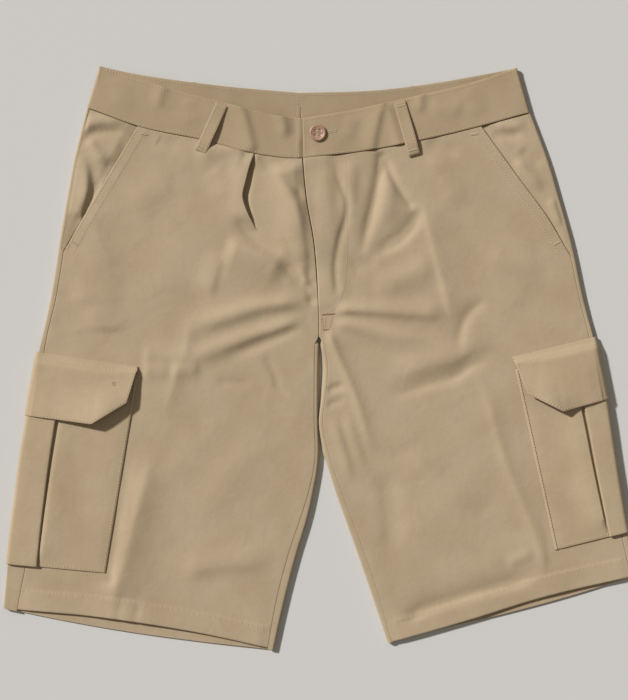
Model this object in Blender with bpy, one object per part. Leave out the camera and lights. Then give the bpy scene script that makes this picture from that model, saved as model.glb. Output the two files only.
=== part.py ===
"""Men's cargo shorts in khaki cotton twill, laid flat on their back.

Lengths in the tables are millimetres, seen from above the front of the shorts: x runs to the
right, y towards the waistband and z up from the surface they lie on. "Left" is the side at -x.
Meshes are in metres.
"""

import math
from collections import namedtuple

import bmesh
import bpy

MM = 0.001

# Layers: one thickness of twill, the space between two pieces, and the doubled pieces.
WALL = 1.2
GAP = 0.3
BAND_WALL = 2.0
HEM_WALL = 2 * WALL

# Heights where the layers lie on each other, from the surface up.
POCKET_UNDER = WALL + GAP
LEG_RAISED = POCKET_UNDER + WALL + GAP
FRONT_TOP = LEG_RAISED + WALL + GAP + WALL
POCKET_TOP = FRONT_TOP + GAP + WALL
PLEAT_RISE = 2 * (WALL + GAP)
LINER_TOP = FRONT_TOP - WALL - GAP
BAND_UNDER = WALL + GAP
BAND_TOP = FRONT_TOP + WALL
BAND_LAP = BAND_WALL + GAP

# The cloth turns round each side of a leg in a half circle, drawn in this many steps.
TURN_STEPS = 4
SMALL_TURN_STEPS = 3

# Pocket bag: the box pleat's fold goes this far under, and the strip comes down to the side.
PLEAT_UNDER = 12.0
PLEAT_SLOPE_START = 15.0
PLEAT_SLOPE_END = 3.5

# Belt loops: width, thickness, clear height for a belt, and the ends that are sewn down.
LOOP_WIDTH = 12.5
LOOP_WALL = 1.6
LOOP_CLEAR = 5.6
LOOP_END = 7.0
BACK_LOOP_LENGTH = 52.0

# Button: four holes in a dished disc.
BUTTON_X = -2.4
BUTTON_Y = 231.6
BUTTON_DIAMETER = 17.2
BUTTON_THICKNESS = 3.0
BUTTON_RIM = 2.2
BUTTON_DISH = 0.7
HOLE_DIAMETER = 2.0
HOLE_SPACING = 3.6

Point = namedtuple("Point", "x y")

# A leg, row by row down it: the outside of each side turn, and how far the back comes round
# each side onto the front, where the side seam and the inseam are.
Level = namedtuple("Level", "y outer wrap_out inner wrap_in")
LEFT_LEG = (
    Level(y=258, outer=-240, wrap_out=4.2, inner=-19.5, wrap_in=3.6),
    Level(y=204, outer=-253.5, wrap_out=4.2, inner=-17.5, wrap_in=3.6),
    Level(y=163, outer=-261, wrap_out=4.5, inner=-13.5, wrap_in=3.6),
    Level(y=122, outer=-268, wrap_out=5.5, inner=-6.5, wrap_in=3.6),
    Level(y=60, outer=-278, wrap_out=5.5, inner=-2, wrap_in=3.6),
    Level(y=22, outer=-286.5, wrap_out=5, inner=-1.5, wrap_in=3.6),
    Level(y=-2, outer=-291.5, wrap_out=6, inner=-4.5, wrap_in=3.6),
    Level(y=-59, outer=-301.5, wrap_out=11, inner=-4, wrap_in=3.6),
    Level(y=-110, outer=-309.5, wrap_out=14, inner=-3.5, wrap_in=3.6),
    Level(y=-136, outer=-313, wrap_out=16, inner=-6.5, wrap_in=4.5),
    Level(y=-167, outer=-317, wrap_out=17.5, inner=-13.5, wrap_in=7),
    Level(y=-198, outer=-320.5, wrap_out=19, inner=-23, wrap_in=8),
    Level(y=-258, outer=-326.5, wrap_out=14.5, inner=-38.5, wrap_in=8),
    Level(y=-301, outer=-330, wrap_out=12, inner=-48, wrap_in=6),
)
RIGHT_LEG = (
    Level(y=258, outer=214.5, wrap_out=4, inner=-19.5, wrap_in=3.6),
    Level(y=204, outer=235, wrap_out=4, inner=-17.5, wrap_in=3.6),
    Level(y=163, outer=247, wrap_out=4, inner=-13.5, wrap_in=3.6),
    Level(y=122, outer=258.5, wrap_out=4, inner=-6.5, wrap_in=3.6),
    Level(y=60, outer=272, wrap_out=4, inner=-2, wrap_in=3.6),
    Level(y=22, outer=281.5, wrap_out=4, inner=-1, wrap_in=3.6),
    Level(y=-5, outer=287, wrap_out=4, inner=4.5, wrap_in=3.6),
    Level(y=-43, outer=294.5, wrap_out=4.5, inner=1.5, wrap_in=3.6),
    Level(y=-64, outer=298, wrap_out=5, inner=0, wrap_in=3.6),
    Level(y=-95, outer=302.5, wrap_out=5, inner=4.5, wrap_in=4.2),
    Level(y=-136, outer=309, wrap_out=6, inner=15.5, wrap_in=5.5),
    Level(y=-177, outer=316, wrap_out=6, inner=30, wrap_in=6.5),
    Level(y=-224, outer=326.5, wrap_out=6, inner=46.5, wrap_in=7),
    Level(y=-294, outer=340, wrap_out=6, inner=70, wrap_in=4),
)

# Edges across the shorts, from the outer side to the middle.
LEFT_SEAM_FRONT = (Point(-240, 258), Point(-188, 239), Point(-118, 224), Point(-69, 211), Point(-18, 206))
RIGHT_SEAM_FRONT = (Point(216, 253), Point(166, 239), Point(88, 221), Point(57, 215), Point(-17, 206))
LEFT_SEAM_BACK = (Point(-240, 258), Point(-205, 251), Point(-108, 237), Point(-19, 229))
RIGHT_SEAM_BACK = (Point(216, 253), Point(180, 246), Point(92, 236), Point(-19, 229))
LEFT_TOP_FRONT = (Point(-227, 301), Point(-198, 291), Point(-98, 263), Point(-18, 247))
RIGHT_TOP_FRONT = (Point(203, 299), Point(154, 283), Point(91, 268), Point(36, 256), Point(-18, 247))
LEFT_TOP_BACK = (Point(-227, 301), Point(-206, 296), Point(-108, 281), Point(-21, 273))
RIGHT_TOP_BACK = (Point(203, 299), Point(124, 284), Point(62, 276), Point(-21, 273))
LEFT_HEM_FRONT = (Point(-326.5, -258), Point(-219, -268), Point(-126, -283), Point(-48, -300))
LEFT_HEM_BACK = (Point(-326.5, -258), Point(-279, -268), Point(-207, -281), Point(-120, -293), Point(-48, -301))
RIGHT_HEM_FRONT = (Point(326.5, -224), Point(232, -246), Point(147, -272), Point(70, -294))
RIGHT_HEM_BACK = (Point(326.5, -224), Point(260, -245), Point(186, -265), Point(118, -281), Point(70, -294))

# Slant pocket mouths, from the waistband down to the side seam.
LEFT_MOUTH = (Point(-188, 239), Point(-216, 192), Point(-239, 153), Point(-262, 113))
RIGHT_MOUTH = (Point(166, 239), Point(205, 185), Point(233, 147), Point(254, 112))
MOUTH_END = 113.0
CROTCH = 22.0
FLY_SLOT = 4.0
FACING_UNDER = 22.0

# Flaps and pocket bags, from the side turn to the free front edge.
LEFT_FLAP_TOP = (Point(-293.5, 6.5), Point(-187, -9))
LEFT_FLAP_BOTTOM = (Point(-304.5, -59), Point(-234, -68), Point(-198, -46))
RIGHT_FLAP_TOP = (Point(285.5, 22), Point(198, 1))
RIGHT_FLAP_BOTTOM = (Point(297, -42), Point(249, -55), Point(213, -37))
LEFT_BAG_TOP = (Point(-294.5, -6), Point(-188, -21))
LEFT_BAG_BOTTOM = (Point(-323.2, -212), Point(-221, -221.5))
RIGHT_BAG_TOP = (Point(287.5, 9), Point(201, -12))
RIGHT_BAG_BOTTOM = (Point(317.8, -179), Point(242, -198))

# The left end of the waistband, which passes under the right front of it.
BAND_END_TOP = Point(20, 250)
BAND_END_BOTTOM = Point(20, 212)

# How far the pleat strip reaches from the side, at the bag's top and bottom.
LEFT_STRIP = (28.0, 32.0)
RIGHT_STRIP = (27.5, 20.5)

# How far the flap's free corner stands off.
LEFT_FLAP_LIFT = 3.5
RIGHT_FLAP_LIFT = 2.0

# Folds of the fronts: a spine from start to end that bows to its left, the widths of its two
# sides (left and right of its direction), its height (below zero it is a trough), and the
# parts of its length over which it rises and falls.
Fold = namedtuple("Fold", "start end bow left right height rise fall")
FOLDS = (
    # Left pleat: its overhanging lip, the opening beside it and the trough that leaves it.
    Fold((-70, 212), (-68, 130), -12, 3, 17, 3.2, 0.3, 0.4),
    Fold((-67, 214), (-69, 128), -7, 4, 5, -3.0, 0.2, 0.4),
    Fold((-86, 136), (-6, 66), 4, 9, 10, -2.6, 0.2, 0.4),
    Fold((-120, 96), (-14, 72), -4, 12, 14, 2.6, 0.4, 0.3),
    # Right pleat: two valleys that part below the waistband, with a raised facet between.
    Fold((59, 212), (34, 98), 5, 5, 5, -2.8, 0.15, 0.5),
    Fold((60, 212), (88, 150), 0, 5, 4, -2.6, 0.15, 0.3),
    Fold((62, 196), (58, 112), 0, 11, 11, 2.0, 0.4, 0.6),
    # Folds that run out of the crotch over each thigh.
    Fold((-12, 44), (-128, 4), 5, 9, 5, 4.0, 0.15, 0.6),
    Fold((-14, 34), (-130, -6), 5, 5, 12, -2.6, 0.15, 0.5),
    Fold((-16, 52), (-150, 28), 0, 9, 8, -2.0, 0.2, 0.5),
    Fold((16, 42), (112, 40), 0, 5, 10, 2.8, 0.15, 0.5),
    Fold((14, 37), (106, 6), -4, 9, 6, 2.8, 0.15, 0.5),
    Fold((10, 28), (50, -86), -5, 6, 4, 3.0, 0.15, 0.6),
    # Fly: the doubled front stands up along the centre line.
    Fold((-18, 208), (0, 40), -6, 5, 34, 1.8, 0.02, 0.25),
    # Pressed creases down the middle of each leg.
    Fold((-132, 40), (-162, -70), -3, 9, 6, 2.6, 0.3, 0.4),
    Fold((-174, -110), (-218, -262), 3, 10, 5, 2.6, 0.4, 0.1),
    Fold((96, 160), (136, 40), 6, 7, 12, 2.4, 0.3, 0.4),
    Fold((150, 12), (234, -226), 4, 8, 9, 2.2, 0.3, 0.3),
    # Bends across the legs.
    Fold((100, -8), (200, 10), 3, 6, 12, 3.0, 0.4, 0.3),
    Fold((-236, 150), (-190, 8), -24, 22, 22, 2.4, 0.4, 0.4),
    Fold((86, -264), (236, -208), -8, 12, 12, 2.2, 0.3, 0.4),
    Fold((-140, -226), (-52, -214), 6, 22, 12, 2.4, 0.4, 0.4),
)

# Lines of the fronts' grid across (0 at the side, 1 at the middle) and down (1 at the hem).
FRONT_ACROSS = (0, 0.05, 0.11, 0.17, 0.23, 0.29, 0.35, 0.41, 0.47, 0.53, 0.58,
                0.63, 0.665, 0.70, 0.73, 0.76, 0.80, 0.85, 0.90, 0.95, 1)
FRONT_DOWN = (0, 0.025, 0.055, 0.09, 0.13, 0.17, 0.21, 0.254, 0.29, 0.325, 0.3605, 0.380, 0.4145,
              0.456, 0.505, 0.555, 0.604, 0.655, 0.707, 0.76, 0.83, 0.9065, 0.9555, 0.9565, 1)
# The same for the backs, whose rows meet the crotch and the ends of the cargo pocket.
BACK_ACROSS = (0.12, 0.25, 0.40, 0.44, 0.55, 0.68, 0.80, 0.92)
BACK_DOWN = (0, 0.018, 0.05, 0.15, 0.27, 0.388, 0.407, 0.44, 0.478, 0.62, 0.77, 0.91, 0.957, 0.958, 1)
WAIST_RAMP = (0.018, 0.05)
POCKET_RAMP_TOP = (0.44, 0.478)
POCKET_RAMP_BOTTOM = (0.91, 0.957)
POCKET_RAMP_IN = (0.40, 0.44)
BAND_DOWN = (0, 0.3, 0.7, 1)
BAND_ACROSS = 10
FLAP_DOWN = (0, 0.17, 0.5, 0.8, 1)

Leg = namedtuple("Leg", "side levels seam_front seam_back top_front top_back hem_front hem_back mouth")
LEGS = {
    "l": Leg(-1, LEFT_LEG, LEFT_SEAM_FRONT, LEFT_SEAM_BACK, LEFT_TOP_FRONT, LEFT_TOP_BACK,
             LEFT_HEM_FRONT, LEFT_HEM_BACK, LEFT_MOUTH),
    "r": Leg(1, RIGHT_LEG, RIGHT_SEAM_FRONT, RIGHT_SEAM_BACK, RIGHT_TOP_FRONT, RIGHT_TOP_BACK,
             RIGHT_HEM_FRONT, RIGHT_HEM_BACK, RIGHT_MOUTH),
}
Cargo = namedtuple("Cargo", "flap_top flap_bottom bag_top bag_bottom strip lift")
CARGO = {
    "l": Cargo(LEFT_FLAP_TOP, LEFT_FLAP_BOTTOM, LEFT_BAG_TOP, LEFT_BAG_BOTTOM, LEFT_STRIP, LEFT_FLAP_LIFT),
    "r": Cargo(RIGHT_FLAP_TOP, RIGHT_FLAP_BOTTOM, RIGHT_BAG_TOP, RIGHT_BAG_BOTTOM, RIGHT_STRIP, RIGHT_FLAP_LIFT),
}

# Belt loops on the front: the middle of the top end and of the bottom end.
Loop = namedtuple("Loop", "top bottom")
FRONT_LOOPS = {
    "l": Loop(Point(-102, 260), Point(-123, 212)),
    "r": Loop(Point(83, 262), Point(97, 209)),
}
# Belt loops under the back: one in the middle and one towards each side.
BACK_LOOPS = {"centre": Point(-20, 274), "l": Point(-135, 287), "r": Point(100, 283)}


# ---- Curves and surfaces ----

def soft_step(value):
    """0 below 0, 1 above 1, and a smooth rise between."""
    value = min(1.0, max(0.0, value))
    return value * value * (3 - 2 * value)


def slope_at(keys, values, index):
    """The slope of a smooth curve at one of its own points."""
    if index == 0:
        return (values[1] - values[0]) / (keys[1] - keys[0])
    if index == len(keys) - 1:
        return (values[-1] - values[-2]) / (keys[-1] - keys[-2])
    before = keys[index] - keys[index - 1]
    after = keys[index + 1] - keys[index]
    fall = (values[index] - values[index - 1]) / before
    rise = (values[index + 1] - values[index]) / after
    return (fall * after + rise * before) / (before + after)


def smooth_value(keys, values, key):
    """A smooth curve through (key, value) points, straight beyond its ends."""
    if keys[0] > keys[-1]:
        keys = keys[::-1]
        values = values[::-1]
    if key <= keys[0]:
        return values[0] + (key - keys[0]) * slope_at(keys, values, 0)
    if key >= keys[-1]:
        return values[-1] + (key - keys[-1]) * slope_at(keys, values, len(keys) - 1)
    index = next(i for i in range(len(keys) - 1) if key <= keys[i + 1])
    span = keys[index + 1] - keys[index]
    t = (key - keys[index]) / span
    start = values[index]
    end = values[index + 1]
    leave = slope_at(keys, values, index) * span
    arrive = slope_at(keys, values, index + 1) * span
    return (start * (1 + 2 * t) * (1 - t) ** 2 + leave * t * (1 - t) ** 2
            + end * t * t * (3 - 2 * t) - arrive * t * t * (1 - t))


def straight_value(points, key, column=1):
    """Straight runs between (x, y) points; column 1 reads y at an x, column 0 reads x at a y."""
    ordered = sorted(points, key=lambda point: point[1 - column])
    for before, after in zip(ordered, ordered[1:]):
        if key <= after[1 - column] or after == ordered[-1]:
            t = (key - before[1 - column]) / (after[1 - column] - before[1 - column])
            return before[column] + (after[column] - before[column]) * t


def level_value(levels, column, y):
    """One column of a leg's table at height y."""
    return smooth_value([row.y for row in levels], [getattr(row, column) for row in levels], y)


def edge_y(points, x):
    """Height of an edge that runs across the shorts, at x."""
    return smooth_value([p.x for p in points], [p.y for p in points], x)


def along(points, u):
    """A point of a cornered edge, at the share u of its length."""
    lengths = [math.dist(a, b) for a, b in zip(points, points[1:])]
    left = u * sum(lengths)
    for a, b, length in zip(points, points[1:], lengths):
        if left <= length or b == points[-1]:
            t = left / length
            return a.x + (b.x - a.x) * t, a.y + (b.y - a.y) * t
        left -= length


def patch(top, bottom, outer, inner):
    """A flat region between four edges, as a function of u (outer to inner) and v (top to bottom)."""
    def place(u, v):
        corners = ((1 - u) * (1 - v), top(0)), (u * (1 - v), top(1)), ((1 - u) * v, bottom(0)), (u * v, bottom(1))
        sides = (1 - v, top(u)), (v, bottom(u)), (1 - u, outer(v)), (u, inner(v))
        return tuple(sum(w * p[i] for w, p in sides) - sum(w * p[i] for w, p in corners) for i in (0, 1))
    return place


def edge_across(points, start, end):
    """The edge across the shorts between x = start and x = end, as a function of u."""
    def place(u):
        x = start + (end - start) * u
        return x, edge_y(points, x)
    return place


def edge_down(position, start, end):
    """The edge down a leg from y = start to y = end, where x = position(y), as a function of v."""
    def place(v):
        y = start + (end - start) * v
        return position(y), y
    return place


def centre_line(y):
    """Where the two fronts, and the two backs, meet."""
    return level_value(LEFT_LEG, "inner", max(y, CROTCH))


# ---- Height of the fronts ----

def fold_height(fold, x, y):
    """What one fold adds to the height of the cloth at x, y."""
    run_x = fold.end[0] - fold.start[0]
    run_y = fold.end[1] - fold.start[1]
    length = math.hypot(run_x, run_y)
    t = ((x - fold.start[0]) * run_x + (y - fold.start[1]) * run_y) / length ** 2
    if not 0 < t < 1:
        return 0.0
    offset = ((y - fold.start[1]) * run_x - (x - fold.start[0]) * run_y) / length
    offset -= fold.bow * 4 * t * (1 - t)
    width = fold.left if offset > 0 else fold.right
    return (fold.height * math.exp(-(offset / width) ** 2)
            * soft_step(t / fold.rise) * soft_step((1 - t) / fold.fall))


def calm(leg, x, y):
    """0 where the cloth lies flat, at the sides and under the cargo pocket, and 1 away from them."""
    out = abs(x - level_value(leg.levels, "outer", y)) - level_value(leg.levels, "wrap_out", y)
    still = soft_step(out / 22)
    if y < 22:
        inside = abs(x - level_value(leg.levels, "inner", y)) - level_value(leg.levels, "wrap_in", y)
        still *= soft_step(inside / 8)
    pocket = soft_step((132 - out) / 16) * soft_step((y + 250) / 14) * soft_step((46 - y) / 14)
    return still * (1 - pocket)


def front_height(leg, x, y):
    """Top face of a front panel."""
    raised = sum(fold_height(fold, x, y) for fold in FOLDS) * calm(leg, x, y)
    near_fly = y > 80 and abs(x - centre_line(y)) < 44
    near_mouth = y > MOUTH_END - 10 and abs(x) > abs(mouth_x(leg, y)) - FACING_UNDER - 14
    if near_fly or near_mouth:
        raised = max(0.0, raised)
    return FRONT_TOP + raised


def mouth_x(leg, y):
    """The slant pocket's edge at height y."""
    return smooth_value([p.y for p in leg.mouth], [p.x for p in leg.mouth], y)


# ---- Meshes ----

def material(name, colour, roughness):
    """A plain Principled material."""
    made = bpy.data.materials.new(name)
    made.use_nodes = True
    shader = made.node_tree.nodes["Principled BSDF"]
    shader.inputs["Base Color"].default_value = (*colour, 1.0)
    shader.inputs["Roughness"].default_value = roughness
    shader.inputs["Metallic"].default_value = 0.0
    return made


def add_object(name, mesh, finish):
    """Puts a finished bmesh into the scene as one named object."""
    bmesh.ops.recalc_face_normals(mesh, faces=mesh.faces[:])
    if mesh.calc_volume(signed=True) < 0:
        bmesh.ops.reverse_faces(mesh, faces=mesh.faces[:])
    data = bpy.data.meshes.new(name)
    mesh.to_mesh(data)
    mesh.free()
    made = bpy.data.objects.new(name, data)
    data.materials.append(finish)
    bpy.context.scene.collection.objects.link(made)
    return made


def cloth(name, outer, inner, finish):
    """A closed wall of cloth between two matching grids of points, its outer and inner faces."""
    mesh = bmesh.new()
    bmesh.ops.create_grid(mesh, x_segments=len(outer[0]) - 1, y_segments=len(outer) - 1, size=1)
    order = {vertex.co.to_tuple(4): index for index, vertex in enumerate(mesh.verts)}
    first = list(mesh.verts)
    made = bmesh.ops.extrude_face_region(mesh, geom=mesh.faces[:], use_keep_orig=True)["geom"]
    inner = [point for row in inner for point in row]
    for vertex in (item for item in made if isinstance(item, bmesh.types.BMVert)):
        vertex.co = [value * MM for value in inner[order[vertex.co.to_tuple(4)]]]
    outer = [point for row in outer for point in row]
    for vertex, point in zip(first, outer):
        vertex.co = [value * MM for value in point]
    return add_object(name, mesh, finish)


def turn(centre, middle, outer, inner, start, end, steps):
    """Points (s, z) of both faces round a turn of the cloth, at angles in degrees."""
    faces = []
    for step in range(steps + 1):
        angle = math.radians(start + (end - start) * step / steps)
        faces.append(tuple((centre + r * math.cos(angle), middle + r * math.sin(angle)) for r in (outer, inner)))
    return faces


# ---- Fronts ----

def front_edge(leg, side_seam, y):
    """Outer edge of the front panel: the pocket mouth, then the side seam."""
    seam = straight_value(side_seam, y, 0) - leg.side * GAP
    return leg.side * min(leg.side * mouth_x(leg, y), leg.side * seam)


def front_inner(leg, inseam, y):
    """Inner edge of the front panel: the fly, the centre seam, then the inseam."""
    if y >= CROTCH:
        slot = FLY_SLOT * soft_step((y - 56) / 40) if leg.side < 0 else 0.0
        return centre_line(y) + leg.side * (GAP / 2) - slot
    return straight_value(inseam, y, 0) + leg.side * GAP


def front_patch(leg, seams):
    """Plan of the front panel, between the band's lower edge and the seams of the back."""
    band_edge, side_seam, inseam = seams
    top_y = leg.seam_front[1].y - GAP
    start = mouth_x(leg, top_y)
    end = front_inner(leg, inseam, leg.seam_front[-1].y - GAP)
    hem_start = front_edge(leg, side_seam, leg.hem_front[0].y)
    hem_end = front_inner(leg, inseam, leg.hem_front[-1].y)

    def top(u):
        x = start + (end - start) * u
        return x, straight_value(band_edge, x) - GAP
    bottom = edge_across(leg.hem_front, hem_start, hem_end)
    outer = edge_down(lambda y: front_edge(leg, side_seam, y), top(0)[1], bottom(0)[1])
    inner = edge_down(lambda y: front_inner(leg, inseam, y), top(1)[1], bottom(1)[1])
    return patch(top, bottom, outer, inner)


def make_front(key, leg, seams, finish):
    """Front panel, with its folds and its turned-up hem."""
    place = front_patch(leg, seams)
    outer = []
    inner = []
    for v in FRONT_DOWN:
        wall = HEM_WALL if v >= FRONT_DOWN[-2] else WALL
        spots = [place(u, v) for u in FRONT_ACROSS]
        heights = [front_height(leg, x, y) for x, y in spots]
        outer.append([(x, y, z) for (x, y), z in zip(spots, heights)])
        inner.append([(x, y, z - wall) for (x, y), z in zip(spots, heights)])
    cloth("front_panel_" + key, outer, inner, finish)


def make_facing(key, leg, finish):
    """Hip facing behind the pocket mouth, from the waistband to the side seam."""
    def outer_x(y):
        return level_value(leg.levels, "outer", y) - leg.side * 3.0
    bottom_y = MOUTH_END - 16
    seam = [Point(p.x, p.y - GAP) for p in leg.seam_front]
    start = outer_x(seam[0].y)
    end = mouth_x(leg, seam[1].y) - leg.side * FACING_UNDER
    top = edge_across(seam, start, end)
    foot = outer_x(bottom_y)
    outer = edge_down(outer_x, top(0)[1], bottom_y)

    def bottom(u):
        return foot - leg.side * 10 * u, bottom_y

    def inner(v):
        x, y = top(1)
        return x + (bottom(1)[0] - x) * v, y + (bottom(1)[1] - y) * v
    place = patch(top, bottom, outer, inner)
    faces = ([], [])
    for row in range(6):
        spots = [place(column / 4, row / 5) for column in range(5)]
        faces[0].append([(x, y, LINER_TOP) for x, y in spots])
        faces[1].append([(x, y, LINER_TOP - WALL) for x, y in spots])
    cloth("hip_facing_" + key, *faces, finish)


def make_fly_shield(finish):
    """Fly shield under the opening of the fly."""
    faces = ([], [])
    for y in (205, 175, 145, 115, 92):
        spots = [(centre_line(y) + offset, y + offset * -0.1) for offset in (-15, 0, 15, 30)]
        faces[0].append([(x, y, LINER_TOP) for x, y in spots])
        faces[1].append([(x, y, LINER_TOP - WALL) for x, y in spots])
    cloth("fly_shield", *faces, finish)


# ---- Backs ----

def back_patch(leg):
    """Plan of the whole leg, from the outside of its outer turn to its inner edge."""
    hem_start, hem_end = leg.hem_back[0], leg.hem_back[-1]
    seam = [Point(p.x, p.y - GAP) for p in leg.seam_back]

    def outer_x(y):
        return level_value(leg.levels, "outer", y)

    def inner_x(y):
        return centre_line(y) + leg.side * GAP / 2 if y >= CROTCH else level_value(leg.levels, "inner", y)
    outer = edge_down(outer_x, seam[0].y, hem_start.y)
    inner = edge_down(inner_x, seam[-1].y, hem_end.y)
    top = edge_across(seam, outer(0)[0], inner(0)[0])
    bottom = edge_across(leg.hem_back, outer(1)[0], inner(1)[0])
    outer = edge_down(outer_x, top(0)[1], bottom(0)[1])
    inner = edge_down(inner_x, top(1)[1], bottom(1)[1])
    return patch(top, bottom, outer, inner)


def back_level(u, v):
    """Underside of the back: raised where the cargo pocket's back half lies beneath it."""
    top = soft_step((v - POCKET_RAMP_TOP[0]) / (POCKET_RAMP_TOP[1] - POCKET_RAMP_TOP[0]))
    bottom = soft_step((POCKET_RAMP_BOTTOM[1] - v) / (POCKET_RAMP_BOTTOM[1] - POCKET_RAMP_BOTTOM[0]))
    inward = soft_step((POCKET_RAMP_IN[1] - u) / (POCKET_RAMP_IN[1] - POCKET_RAMP_IN[0]))
    waist = soft_step((WAIST_RAMP[1] - v) / (WAIST_RAMP[1] - WAIST_RAMP[0])) * BAND_UNDER
    return max(waist, LEG_RAISED * top * bottom * inward)


def side_profile(bottom, wrap, wall):
    """(s, z) of both faces from the end of the wrap on the front, round the side, to the underside."""
    radius = (FRONT_TOP - bottom) / 2
    flat = ((wrap, FRONT_TOP), (wrap, FRONT_TOP - wall))
    return [flat] + turn(radius, bottom + radius, radius, radius - wall, 90, 270, TURN_STEPS)


def make_back(key, leg, finish):
    """Back panel, which lies under the leg and comes round both sides onto the front."""
    place = back_patch(leg)
    faces = ([], [])
    for v in BACK_DOWN:
        wall = HEM_WALL if v >= BACK_DOWN[-2] else WALL
        width = math.dist(place(0, v), place(1, v))
        y_out = place(0, v)[1]
        y_in = place(1, v)[1]
        profile = side_profile(back_level(0, v), level_value(leg.levels, "wrap_out", y_out), wall)
        across = [((s / width, z), (t / width, h)) for (s, z), (t, h) in profile]
        for u in BACK_ACROSS:
            under = back_level(u, v)
            across.append(((u, under), (u, under + wall)))
        if y_in < CROTCH:
            profile = side_profile(0.0, level_value(leg.levels, "wrap_in", y_in), wall)
        else:
            under = back_level(1, v)
            profile = [((9.0 * step / (TURN_STEPS + 1), under), (9.0 * step / (TURN_STEPS + 1), under + wall))
                       for step in range(TURN_STEPS + 2)]
        across += [((1 - s / width, z), (1 - t / width, h)) for (s, z), (t, h) in reversed(profile)]
        for index, face in enumerate(faces):
            row = [(*place(point[index][0], v), point[index][1]) for point in across]
            face.append([(x, min(y, edge_y(leg.seam_front, x) - GAP) if z > FRONT_TOP / 2 else y, z)
                         for x, y, z in row])
    cloth("back_panel_" + key, *faces, finish)
    turn_line = [place(0, v) for v in BACK_DOWN]
    return [row[0][:2] for row in faces[0]], [row[-1][:2] for row in faces[0]], turn_line


# ---- Waistband ----

def band_lap(x):
    """How far the right front of the band stands up over the left end that passes under it."""
    return BAND_LAP * soft_step((48 - x) / 24)


def make_band(key, leg, finish):
    """Waistband from the middle of the front, round the side, to the middle of the back."""
    side_top = leg.top_front[0]
    side_bottom = leg.seam_front[0]

    def side_line(v):
        return side_top.x + (side_bottom.x - side_top.x) * v, side_top.y + (side_bottom.y - side_top.y) * v

    front_top = [*leg.top_front]
    front_seam = [*leg.seam_front]
    if leg.side < 0:
        front_top.append(BAND_END_TOP)
        front_seam.append(BAND_END_BOTTOM)

    def front_end(v):
        top = front_top[-1]
        bottom = front_seam[-1]
        return top.x + (bottom.x - top.x) * v, top.y + (bottom.y - top.y) * v

    def back_end(v):
        top = leg.top_back[-1]
        bottom = leg.seam_back[-1]
        return (top.x + (bottom.x - top.x) * v + leg.side * GAP / 2, top.y + (bottom.y - top.y) * v)
    front = patch(edge_across(front_top, side_top.x, front_end(0)[0]),
                  edge_across(front_seam, side_bottom.x, front_end(1)[0]), side_line, front_end)
    back = patch(edge_across(leg.top_back, side_top.x, back_end(0)[0]),
                 edge_across(leg.seam_back, side_bottom.x, back_end(1)[0]), side_line, back_end)
    radius = (BAND_TOP - BAND_UNDER) / 2
    faces = ([], [])
    for v in BAND_DOWN:
        front_width = math.dist(front(0, v), front(1, v))
        back_width = math.dist(back(0, v), back(1, v))
        rows = ([], [])
        for step in range(BAND_ACROSS):
            x, y = front(1 - step / BAND_ACROSS * (1 - 8 / front_width), v)
            top = BAND_TOP + (band_lap(x) if leg.side > 0 else 0.0)
            rows[0].append((x, y, top))
            rows[1].append((x, y, top - BAND_WALL))
        for point in turn(radius, BAND_UNDER + radius, radius, radius - BAND_WALL, 90, 270, TURN_STEPS):
            for index, (s, z) in enumerate(point):
                on_front = z > BAND_UNDER + radius
                x, y = front(s / front_width, v) if on_front else back(s / back_width, v)
                rows[index].append((x, y, z))
        for step in range(1, BAND_ACROSS):
            x, y = back(step / (BAND_ACROSS - 1) * (1 - 8 / back_width) + 8 / back_width, v)
            rows[0].append((x, y, BAND_UNDER))
            rows[1].append((x, y, BAND_UNDER + BAND_WALL))
        faces[0].append(rows[0])
        faces[1].append(rows[1])
    cloth("waistband_" + key, *faces, finish)
    return [(x, y) for x, y, z in faces[0][-1] if z > BAND_UNDER + radius]


# ---- Cargo pockets ----

def cargo_patch(top, bottom, side_seam_turn, proud):
    """Plan of a flap or a bag, whose outer edge stands proud of the leg's own side."""
    def outer(v):
        y = top[0].y + (bottom[0].y - top[0].y) * v
        return side_seam_turn(y, proud), y

    def inner(v):
        return top[-1].x + (bottom[-1].x - top[-1].x) * v, top[-1].y + (bottom[-1].y - top[-1].y) * v
    upper = (Point(*outer(0)), *top[1:])
    lower = (Point(*outer(1)), *bottom[1:])
    return patch(lambda u: along(upper, u), lambda u: along(lower, u), outer, inner)


def bag_profile(width, strip):
    """(s, z) of both faces of the bag: front edge, the pleat's two folds, the side and the back."""
    floor = POCKET_TOP - WALL
    fold_in = strip - PLEAT_UNDER
    middle = (floor + POCKET_TOP + WALL + GAP) / 2
    tight = GAP / 2
    wide = WALL + GAP / 2
    faces = [((s, POCKET_TOP), (s, floor)) for s in (width, (width + strip) / 2, strip + 2)]
    faces += turn(fold_in, middle, tight, wide, 270, 90, SMALL_TURN_STEPS)
    faces += turn(strip - wide, middle + WALL + GAP, wide, tight, -90, 90, SMALL_TURN_STEPS)
    high = POCKET_TOP + PLEAT_RISE
    faces.append(((PLEAT_SLOPE_START, high), (PLEAT_SLOPE_START, high - WALL)))
    faces.append(((PLEAT_SLOPE_END, POCKET_TOP), (PLEAT_SLOPE_END, floor)))
    radius = (POCKET_TOP - POCKET_UNDER) / 2
    faces += turn(radius, POCKET_UNDER + radius, radius, radius - WALL, 90, 270, TURN_STEPS)
    faces += [((s, POCKET_UNDER), (s, POCKET_UNDER + WALL)) for s in (width * 0.35, width * 0.7, width)]
    return faces


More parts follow.
